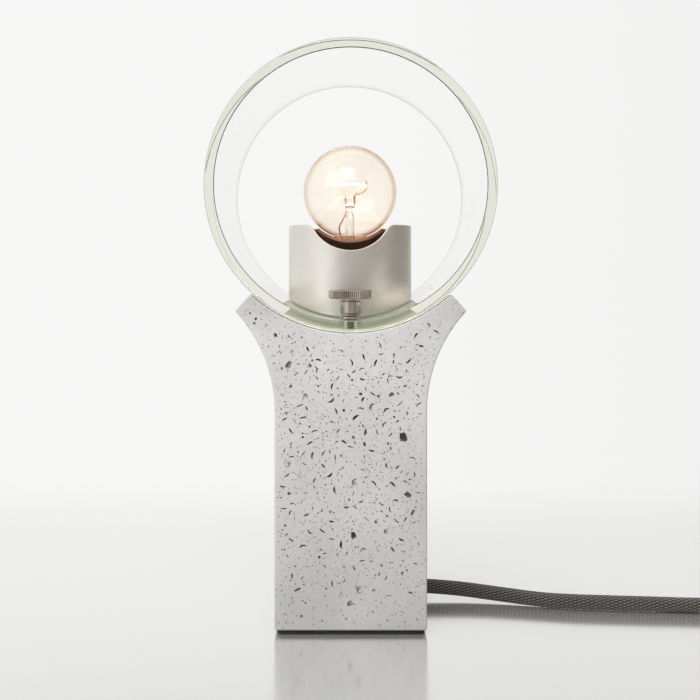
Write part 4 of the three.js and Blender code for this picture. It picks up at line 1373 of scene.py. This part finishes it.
def notch_meeting():
    """Where the rounded shoulder of the housing's top meets the notch, as |x|."""
    shoulder_z = HOUSING_TOP - SHOULDER_R
    rise = NOTCH_Z - shoulder_z
    spread = math.hypot(FLAT_X, rise)
    lean = math.atan2(rise, FLAT_X)
    inner = math.acos((spread ** 2 + SHOULDER_R ** 2 - NOTCH_R ** 2) / (2 * spread * SHOULDER_R))
    return FLAT_X + SHOULDER_R * math.cos(math.pi - lean - max(inner, 0))


MEET_X = notch_meeting()


def housing_top(x):
    x = abs(x)
    if x >= FLAT_X:
        return HOUSING_TOP
    if x >= MEET_X:
        return HOUSING_TOP - SHOULDER_R + math.sqrt(SHOULDER_R ** 2 - (FLAT_X - x) ** 2)
    return NOTCH_Z - math.sqrt(NOTCH_R ** 2 - x * x)


def housing_bottom(x):
    return AXIS_Z - math.sqrt(SADDLE_R ** 2 - x * x)


def stations(radii, extra, per_circle):
    """Places along X that follow every circle evenly and hit the extra places exactly."""
    found = set()
    for r in radii:
        for k in range(per_circle + 1):
            found.add(round(r * math.cos(math.pi * k / per_circle), 7))
    for x in extra:
        found.update((round(x, 7), round(-x, 7)))
    out = []
    for x in sorted(found):
        if not out or x - out[-1] > 4e-6:
            out.append(x)
    return out


def on_top(radius, xs, side):
    """Points of the housing's top that lie on a circle, one for each x, on one side of its middle."""
    return [(x, side * math.sqrt(max(0.0, radius * radius - x * x)), housing_top(x)) for x in xs]


def side_rows(outer, radius):
    """Rows from the housing's top round its rounded edge, down its side and under it to the middle."""
    rows = [outer]
    for k in range(1, EDGE_STEPS + 1):
        t = k / EDGE_STEPS * math.pi / 2
        grown = radius + EDGE * math.sin(t)
        drop = EDGE * (1 - math.cos(t))
        rows.append([(x * grown / radius, y * grown / radius, housing_top(x) - drop) for x, y, _ in outer])
    high = rows[-1]
    low = [(x, y, housing_bottom(x) + 0.0004) for x, y, _ in high]
    for share in (0.01, 0.33, 0.66, 0.99, 1.0):
        rows.append([(a[0], a[1], a[2] + (b[2] - a[2]) * share) for a, b in zip(high, low)])
    rows.append([(x * 0.985, y * 0.985, housing_bottom(x * 0.985)) for x, y, _ in rows[-1]])
    rows.append([(x, 0.0, z) for x, _, z in rows[-1]])
    return rows


def ribbon(first, second):
    """Quads between two open rows of as many points."""
    n = len(first)
    return first + second, [(i, i + 1, n + i + 1, n + i) for i in range(n - 1)]


def add_housing():
    """Round metal block, saddle-shaped below, with a rounded notch across its top and a bore."""
    lip = 0.0004
    top_r, bore_r = HOUSING_R - EDGE, BORE_R + lip
    xs = [x for x in stations((top_r, bore_r), (FLAT_X, MEET_X, 0.0198, 0.0205), 120) if abs(x) <= top_r]
    xs[0], xs[-1] = -top_r, top_r
    scale = BORE_R / bore_r
    strips = []
    for side in (-1, 1):
        outer = on_top(top_r, xs, side)
        rim = on_top(bore_r, [x for x in xs if abs(x) <= bore_r], side)
        wall = [(x * scale, y * scale, z - lip) for x, y, z in rim]
        seat = [(x, y, SEAT_Z) for x, y, _ in wall]
        top = [outer, on_top(top_r - HOLD, xs, side), on_top(bore_r, xs, side)]
        bore = [rim, wall, seat, [(x, 0.0, z) for x, _, z in seat]]
        for rows in (top, side_rows(outer, top_r), bore):
            strips += [ribbon(a, b) for a, b in zip(rows, rows[1:])]
    shape, _ = joined(*strips)
    add_piece("lamp_housing", shape, "lamp", [HOUSING], ("housing",), crease=32, weld=3e-6)


def saddle(x, radius, cap):
    return min(cap, AXIS_Z - math.sqrt(radius ** 2 - x * x))


def holder_mouth(t, cap):
    """Radius where the holder's cone meets its lip, in direction t."""
    mouth = 0.014
    for _ in range(40):
        z = saddle(mouth * math.cos(t), LIP_SADDLE_R, cap)
        mouth = CONE_R + (z - CONE_LOW) / CONE_RISE * CONE_GAIN
    return mouth


def add_lampholder():
    """Dark moulded holder: its top edge follows the globe, a paler inner lip stands closer to it, and a
    cone leads down to the screw shell. The inner lip and the cone are painted paler and warmer, with a
    faint glow, standing in for the bulb's light on them."""
    low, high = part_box("lampholder")
    r, cap = span("lampholder").x / 2, high.z
    turn = circle(HOLDER_SIDES)
    tops = [saddle(r * math.cos(t), HOLDER_SADDLE_R, cap) for t in turn]
    mouths = [holder_mouth(t, cap) for t in turn]

    def ring(radius, z):
        return [around(radius, t, z) for t in turn]

    def on_saddle(radii, saddle_r):
        places = zip(radii, turn)
        return [around(radius, t, saddle(radius * math.cos(t), saddle_r, cap)) for radius, t in places]

    rows = [ring(0.0, low.z), ring(r - 0.0006, low.z), ring(r - 0.0002, low.z + 0.0002),
            ring(r, low.z + 0.0006)]
    for inset, down in ((0.0, 0.0009), (0.0, 0.0007), (0.00025, 0.0003)):
        rows.append([around(r - inset, t, z - down) for t, z in zip(turn, tops)])
    for radius in (r - 0.0006, (r + LIP_R) / 2, LIP_R + 0.0001):
        rows.append(on_saddle([radius] * HOLDER_SIDES, HOLDER_SADDLE_R))
    lip_row = len(rows)
    for k in range(7):
        radii = [LIP_R + (min(LIP_R, mouth + 0.0003) - LIP_R) * k / 6 for mouth in mouths]
        rows.append(on_saddle(radii, LIP_SADDLE_R))
    for k in range(6):
        radii = [mouth + (CONE_R - mouth) * k / 5 for mouth in mouths]
        down = 0.0003 if k == 0 else 0
        rows.append([around(radius, t, CONE_LOW + (radius - CONE_R) / CONE_GAIN * CONE_RISE - down)
                     for radius, t in zip(radii, turn)])
    floor_z = low.z + 0.0037
    rows += [ring(SHELL_R, CONE_LOW - 0.0003), ring(SHELL_R, floor_z), ring(0.0, floor_z)]
    verts = [p for points in rows for p in points]
    quads = (len(rows) - 1) * HOLDER_SIDES
    # Faces of the lip and the cone take the painted bulb light.
    warm = [int(lip_row - 1 <= k // HOLDER_SIDES < len(rows) - 4) for k in range(quads)]
    add_piece("lamp_holder", (verts, grid(len(rows), HOLDER_SIDES)), "lamp", [PHENOLIC, PAINTED_LIT_LIP],
              ("lampholder",), crease=35, face_slots=warm)


add_housing()
add_lampholder()


# ---------------------------------------------------------------- bulb

BULB_WALL = 0.0006
GLOBE_BOTTOM = math.radians(-70)        # where the globe meets its neck
THREAD_PITCH = 0.002822
THREAD_DEPTH = 0.0004


def globe_shape():
    """Thin globe on a short neck, from one closed profile that goes up outside and comes down inside."""
    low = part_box("bulb_glass")[0]
    shrink = (GLOBE_R - BULB_WALL) / GLOBE_R
    globe = []
    for k in range(61):
        t = GLOBE_BOTTOM + (math.pi / 2 - GLOBE_BOTTOM) * k / 60
        globe.append((GLOBE_R * math.cos(t), AXIS_Z + GLOBE_R * math.sin(t)))
    neck = filleted([(0.0069, low.z, 0), (0.0074, 0.1743, 0.001), (*globe[0], 0)], 8)[:-1]
    outer = neck + globe
    thin = [(r - BULB_WALL, z) for r, z in neck]
    thin += [(shrink * r, AXIS_Z + (z - AXIS_Z) * shrink) for r, z in globe]
    profile = outer[:-1] + [(0.0, outer[-1][1]), (0.0, thin[-1][1])] + thin[-2::-1]
    return lathe(profile, 128, closed=True)


def cap_shape():
    """Screw cap: a thread rolled in thin metal, and the plain inside of the same shell."""
    low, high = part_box("bulb_cap")
    r, reach = span("bulb_cap").x / 2, high.z - low.z
    rows, sides = 90, 64
    turn = circle(sides)
    verts = []
    for i in range(rows + 1):
        share = i / rows
        z = low.z + reach * share
        fades = min(1, share * 8, (1 - share) * 5)
        for t in turn:
            wave = math.cos(2 * math.pi * (z - low.z) / THREAD_PITCH - t)
            verts.append(around(r - THREAD_DEPTH * fades * (0.5 - 0.5 * wave), t, z))
    for i in range(rows + 1):
        verts += [around(r - 0.0008, t, high.z - reach * i / rows) for t in turn]
    verts += verts[:sides]
    return verts, grid(2 * rows + 3, sides)


def add_bulb():
    """The bulb's globe, screw cap, seat and tip contact; the contact rides on the bulb's carrier."""
    add_piece("bulb_globe", globe_shape(), "bulb", [BULB_GLASS], ("bulb_glass",), crease=60)
    add_piece("bulb_screw_cap", cap_shape(), "bulb", [NICKEL], ("bulb_cap",), crease=50)
    low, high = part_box("bulb_insulator")
    rim_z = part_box("bulb_cap")[0].z - 0.0004
    seat = filleted([(0, low.z, 0), (0.0026, low.z, 0.0003), (0.0061, rim_z, 0.0008),
                     (0.0061, high.z, 0.0002), (0, high.z, 0)], 5)
    add_piece("bulb_seat", lathe(seat, 48), "bulb", [PHENOLIC], ("bulb_insulator",))
    low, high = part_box("bulb_contact")
    tip = filleted([(0, low.z, 0), (0.0019, low.z + 0.0001, 0.0008), (0.0023, high.z - 0.0004, 0.0003),
                    (0.0022, high.z, 0.0001), (0, high.z, 0)], 5)
    add_piece("bulb_tip", lathe(tip, 40), "bulb_carrier", [NICKEL], ("bulb_contact",))


def add_stem():
    """Glass tube inside the bulb, pressed flat where the support wires leave it."""
    low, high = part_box("bulb_stem")
    r, bore, neck = 0.0022, 0.0015, 0.1916
    outer = filleted([(bore, low.z, 0), (r + 0.0005, low.z, 0.0002), (r, low.z + 0.003, 0.003),
                      (r, neck - 0.001, 0.001), (0.0019, neck + 0.001, 0)], 5)
    inner = [(0.0003, neck - 0.001), (0.0012, neck - 0.003), (bore, neck - 0.006)]
    pipe = lathe(outer + [(0.0009, neck + 0.0006)] + inner, 40, closed=True)
    rows, steps = 15, 4
    start = neck - 0.0002
    press = []
    for k in range(rows):
        share = k / (rows - 1)
        round_ = 1 - min(1, share * 2.2)
        edge = max(0.0, (share - 0.88) / 0.12)
        half_x = 0.0020 + 0.0010 * share ** 0.7 - 0.0004 * edge ** 2
        half_y = 0.0008 + 0.0012 * round_ - 0.0003 * edge ** 2
        ring = rounded_rectangle(half_x, half_y, 0.0006 + 0.0012 * round_, steps)
        press += [(x, y, start + (high.z - start) * share) for x, y in ring]
    shape, _ = joined(pipe, (press, capped_grid(rows, 4 * (steps + 1))))
    add_piece("glass_stem", shape, "bulb", [STEM_GLASS], ("bulb_stem",), crease=50)


ARC_R = 0.0076                          # the filament's arc, and the angle left open in it
ARC_Z = 0.203
ARC_OPEN = math.radians(80)
FILAMENT_TURNS = 84
FILAMENT_R = 0.00011                    # of its wire
WINDING_R = 0.00032                     # of its turns
COIL_POINTS = 1260
PRESS_TOP = 0.1974
ANCHOR_ROUTE = [
    (0.0016, -0.0003, PRESS_TOP - 0.001), (0.0024, -0.0006, 0.1982), (0.0052, -0.001, 0.1990),
    (0.0076, -0.0009, 0.2006), (0.0081, -0.0004, 0.2030), (0.0075, 0.0003, 0.2053),
    (0.0066, 0.0004, 0.2054),
]
LEAD_ROUTE = [
    (-0.0019, -0.0011, 0.1905), (-0.0023, -0.0016, 0.1888), (-0.0036, -0.0019, 0.1860),
    (-0.0052, -0.0016, 0.1827), (-0.0050, -0.0010, 0.1795), (-0.0038, -0.0004, 0.1765),
]


def add_wires():
    """Two support wires, a lead and an anchor, and the coiled filament that they carry."""
    end_x, end_y = ARC_R * math.sin(ARC_OPEN / 2), ARC_R * math.cos(ARC_OPEN / 2)
    wires = []
    for number, side in ((1, -1), (2, 1)):
        route = [(side * 0.0021, 0, PRESS_TOP - 0.004), (side * 0.0022, 0, PRESS_TOP + 0.0005),
                 (side * 0.0026, 0.0006, 0.1994), (side * end_x * 0.8, end_y * 0.6, 0.201),
                 (side * end_x, end_y, ARC_Z - 0.0011)]
        wires.append((f"filament_support_{number}", route, 0.00035, COPPER, (f"support_wire_{number}",)))
    wires.append(("filament_anchor", ANCHOR_ROUTE, 0.0003, ANCHOR, ()))
    wires.append(("bulb_lead", LEAD_ROUTE, 0.00042, COPPER, ()))
    for name, route, radius, material, nodes in wires:
        shape = tube(smooth_path(route, 0.0003), radius, 12)
        add_piece(name, shape, "bulb", [material], nodes)
    first, last = math.pi / 2 + ARC_OPEN / 2, 2.5 * math.pi - ARC_OPEN / 2
    path = []
    for k in range(COIL_POINTS + 1):
        share = k / COIL_POINTS
        t = first + (last - first) * share
        spin = 2 * math.pi * FILAMENT_TURNS * share
        path.append(around(ARC_R + WINDING_R * math.cos(spin), t, ARC_Z + WINDING_R * math.sin(spin)))
    shape = tube(np.array(path), FILAMENT_R, 6)
    add_piece("filament_coil", shape, "bulb", [GLOW], ("filament",), crease=80)


add_bulb()
add_stem()
add_wires()


# ---------------------------------------------------------------- thumbscrew

HEAD_R, COLLAR_R, SHANK_R = 0.010, 0.0048, 0.00245
HEAD_LOW, COLLAR_LOW = 0.1484, 0.1417
SCREW_TURNS = 24
KNURLS = 64
KNURL_STEPS = 6                         # points across each ridge
KNURL_DEPTH = 0.00042


def screw_profiles(low, top):
    """The screw's profile in three parts, each with whether it is knurled: shank and collar, rim, crown."""
    tip, r = low + 0.0006, SHANK_R
    profile = [(0, low, 0), (r - 0.0006, low, 0), (r, tip, 0)]
    reach = COLLAR_LOW - 0.001 - tip
    for k in range(SCREW_TURNS):
        z = tip + reach * (k + 0.5) / SCREW_TURNS
        profile += [(r - 0.0003, z, 0), (r, z + reach / SCREW_TURNS / 2, 0)]
    neck = COLLAR_R - 0.0006
    profile += [(r - 0.0001, COLLAR_LOW, 0), (COLLAR_R, COLLAR_LOW, 0.0004),
                (COLLAR_R, HEAD_LOW - 0.0012, 0.0003), (neck, HEAD_LOW - 0.0008, 0.0002),
                (neck, HEAD_LOW, 0.0003), (HEAD_R - 0.0008, HEAD_LOW, 0.0002)]
    rim = [(HEAD_R - 0.0003, HEAD_LOW + 0.0003), (HEAD_R, HEAD_LOW + 0.0006), (HEAD_R, top - 0.0006),
           (HEAD_R - 0.0003, top - 0.0003)]
    dish = top - 0.0004
    crown = filleted([(HEAD_R - 0.0008, top, 0), (0.0072, top, 0.0003), (0.0066, dish, 0.0003),
                      (0, dish, 0)], 3)
    return (filleted(profile, 3), False), (rim, True), (crown, False)


def add_thumbscrew():
    """Knurled head with a dished top, on a smooth collar, and a threaded shank through the glass."""
    low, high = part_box("thumbscrew")
    turn = circle(KNURLS * KNURL_STEPS)
    verts = []
    for profile, knurled in screw_profiles(low.z, high.z):
        for r, z in profile:
            for k, t in enumerate(turn):
                groove = abs(k % KNURL_STEPS - KNURL_STEPS // 2) / (KNURL_STEPS // 2)
                inset = KNURL_DEPTH * groove if knurled and r > HEAD_R - 0.0004 else 0
                verts.append(around(r - inset, t, z, SCREW_Y))
    faces = grid(len(verts) // len(turn), len(turn))
    # Faces below the collar take the painted shade of the shank.
    below = [int(verts[face[0]][2] < COLLAR_LOW - 0.0001) for face in faces]
    add_piece("thumb_screw", (verts, faces), "screw", [NICKEL, PAINTED_DARK_THREAD], ("thumbscrew",),
              crease=30, face_slots=below)


def add_washers():
    """A flat washer captive on the screw, and one on the housing that is hollow below like the glass."""
    low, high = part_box("captive_washer")
    r, hole = 0.0049, 0.00275
    flat = filleted([(hole, low.z, 0.00015), (r, low.z, 0.0002), (r, high.z, 0.0002),
                     (hole, high.z, 0.00015)], 3, closed=True)
    shape = lathe(flat, 72, (0, SCREW_Y), closed=True)
    add_piece("screw_washer", shape, "screw_carrier", [NICKEL], ("captive_washer",))
    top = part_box("saddle_washer")[1].z
    r, hole, edge, sides = 0.0052, 0.0029, 0.0002, 96
    under = ((hole, 0), (r - edge, 0), (r, edge))       # (radius, height above the housing)
    above = ((r, top - edge), (r - edge, top), (hole + edge, top), (hole, top - edge))
    verts = []
    for radius, rise in under:
        for t in circle(sides):
            verts.append(around(radius, t, housing_bottom(radius * math.cos(t)) + rise, SCREW_Y))
    for radius, z in above:
        verts += [around(radius, t, z, SCREW_Y) for t in circle(sides)]
    verts += verts[:sides]
    shape = verts, grid(len(verts) // sides, sides)
    add_piece("glass_washer", shape, "lamp", [NICKEL], ("saddle_washer",))


add_thumbscrew()
add_washers()


# ---------------------------------------------------------------- finishes on the CAD parts that stay

CAD_FINISH = {
    "steel": STEEL, "brass": BRASS, "rubber": RUBBER, "phenolic": PHENOLIC, "white_insulation": PORCELAIN,
    "black_plastic": PLASTIC, "nickel": NICKEL, "braid": BRAID, "housing_metal": HOUSING,
    "concrete": CONCRETE, "foot": FOOT, "liner": LINER, "shade_glass": GLASS, "bulb_glass": BULB_GLASS,
    "stem_glass": STEM_GLASS, "copper_wire": COPPER, "glowing_filament": GLOW,
}


def finish_cad_nodes():
    slots = {part["node"]: part["material_slot"] for part in frame["record"]["subparts"]}
    for name, node in frame["nodes"].items():
        node.data.materials.clear()
        node.data.materials.append(GASKET if name == "housing_gasket" else CAD_FINISH[slots[name]])


finish_cad_nodes()


# ---------------------------------------------------------------- floor, backdrop and light


def add_floor():
    """A pale table top whose edges fade into the backdrop."""
    n = 60
    low, high = (-0.75, -1.1), (0.95, 0.75)
    solid_low, solid_high = (-0.45, -0.8), (0.62, 0.13)
    fade = 0.2
    verts, numbers, faces = [], [], []
    for j in range(n + 1):
        for i in range(n + 1):
            x = low[0] + (high[0] - low[0]) * i / n
            y = low[1] + (high[1] - low[1]) * j / n
            dx = max(solid_low[0] - x, x - solid_high[0], 0)
            dy = max(solid_low[1] - y, y - solid_high[1], 0)
            share = min(1, math.hypot(dx, dy) / fade)
            verts.append((x, y, 0.0))
            numbers.append(share * share * (3 - 2 * share))
            a = j * (n + 1) + i
            if i < n and j < n:
                faces.append((a, a + 1, a + n + 2, a + n + 1))
    mesh = bpy.data.meshes.new("table_top")
    mesh.from_pydata(verts, [], faces)
    attribute = mesh.attributes.new("fade", "FLOAT", "POINT")
    attribute.data.foreach_set("value", numbers)
    mesh.materials.append(floor_material())
    floor = bpy.data.objects.new("table_top", mesh)
    bpy.context.scene.collection.objects.link(floor)


def add_area_light(name, place, target, size, power, color, shines):
    data = bpy.data.lights.new(name, "AREA")
    data.shape = "SQUARE"
    data.size = size
    data.energy = power
    data.color = color
    lamp = bpy.data.objects.new(name, data)
    lamp.location = place
    lamp.rotation_euler = (Vector(target) - Vector(place)).to_track_quat("-Z", "Y").to_euler()
    lamp.visible_glossy = shines
    bpy.context.scene.collection.objects.link(lamp)


def add_world():
    """A pale studio: an even backdrop behind, a bright left side, a dimmer warm right side, and a mid tone
    ahead of the lamp, where the camera stands."""
    world = bpy.data.worlds.new("studio")
    bpy.context.scene.world = world
    world.use_nodes = True
    n = Nodes(world.node_tree, "Generated")
    x, y, z = n.parts(n.coordinates)
    sides = ((0.0, (1.0, 1.0, 0.985)), (0.25, (0.98, 0.98, 0.965)), (0.5, (0.88, 0.87, 0.855)),
             (0.75, (0.46, 0.425, 0.40)), (1.0, (0.27, 0.235, 0.21)))
    across = n.ramp(n.math("ADD", n.math("MULTIPLY", x, 0.5), 0.5), *sides)
    ahead = n.smooth(n.math("MULTIPLY", y, -1.0), 0.80, 0.97)
    room = n.mix(ahead, across, (0.50, 0.465, 0.435))
    wall = n.mix(n.smooth(x, -0.05, 0.3), (0.925, 0.925, 0.92), (0.885, 0.885, 0.88))
    wall = n.mix(n.smooth(z, 0.22, 0.5), wall, (0.55, 0.55, 0.54))
    sky = n.mix(n.smooth(y, 0.72, 0.92), room, wall)
    n.link(sky, world.node_tree.nodes["Background"].inputs["Color"])


def add_light():
    add_world()
    add_area_light("key", (-0.9, -0.8, 0.9), (0, 0, 0.12), 0.9, 3.0, (1.0, 0.995, 0.98), True)
    add_area_light("top", (-0.05, -0.42, 0.60), (0, -0.05, 0.14), 0.30, 1.8, (1.0, 0.99, 0.98), False)
    settings = bpy.context.scene.view_settings
    settings.view_transform = "Standard"
    settings.look = "None"


add_floor()
add_light()
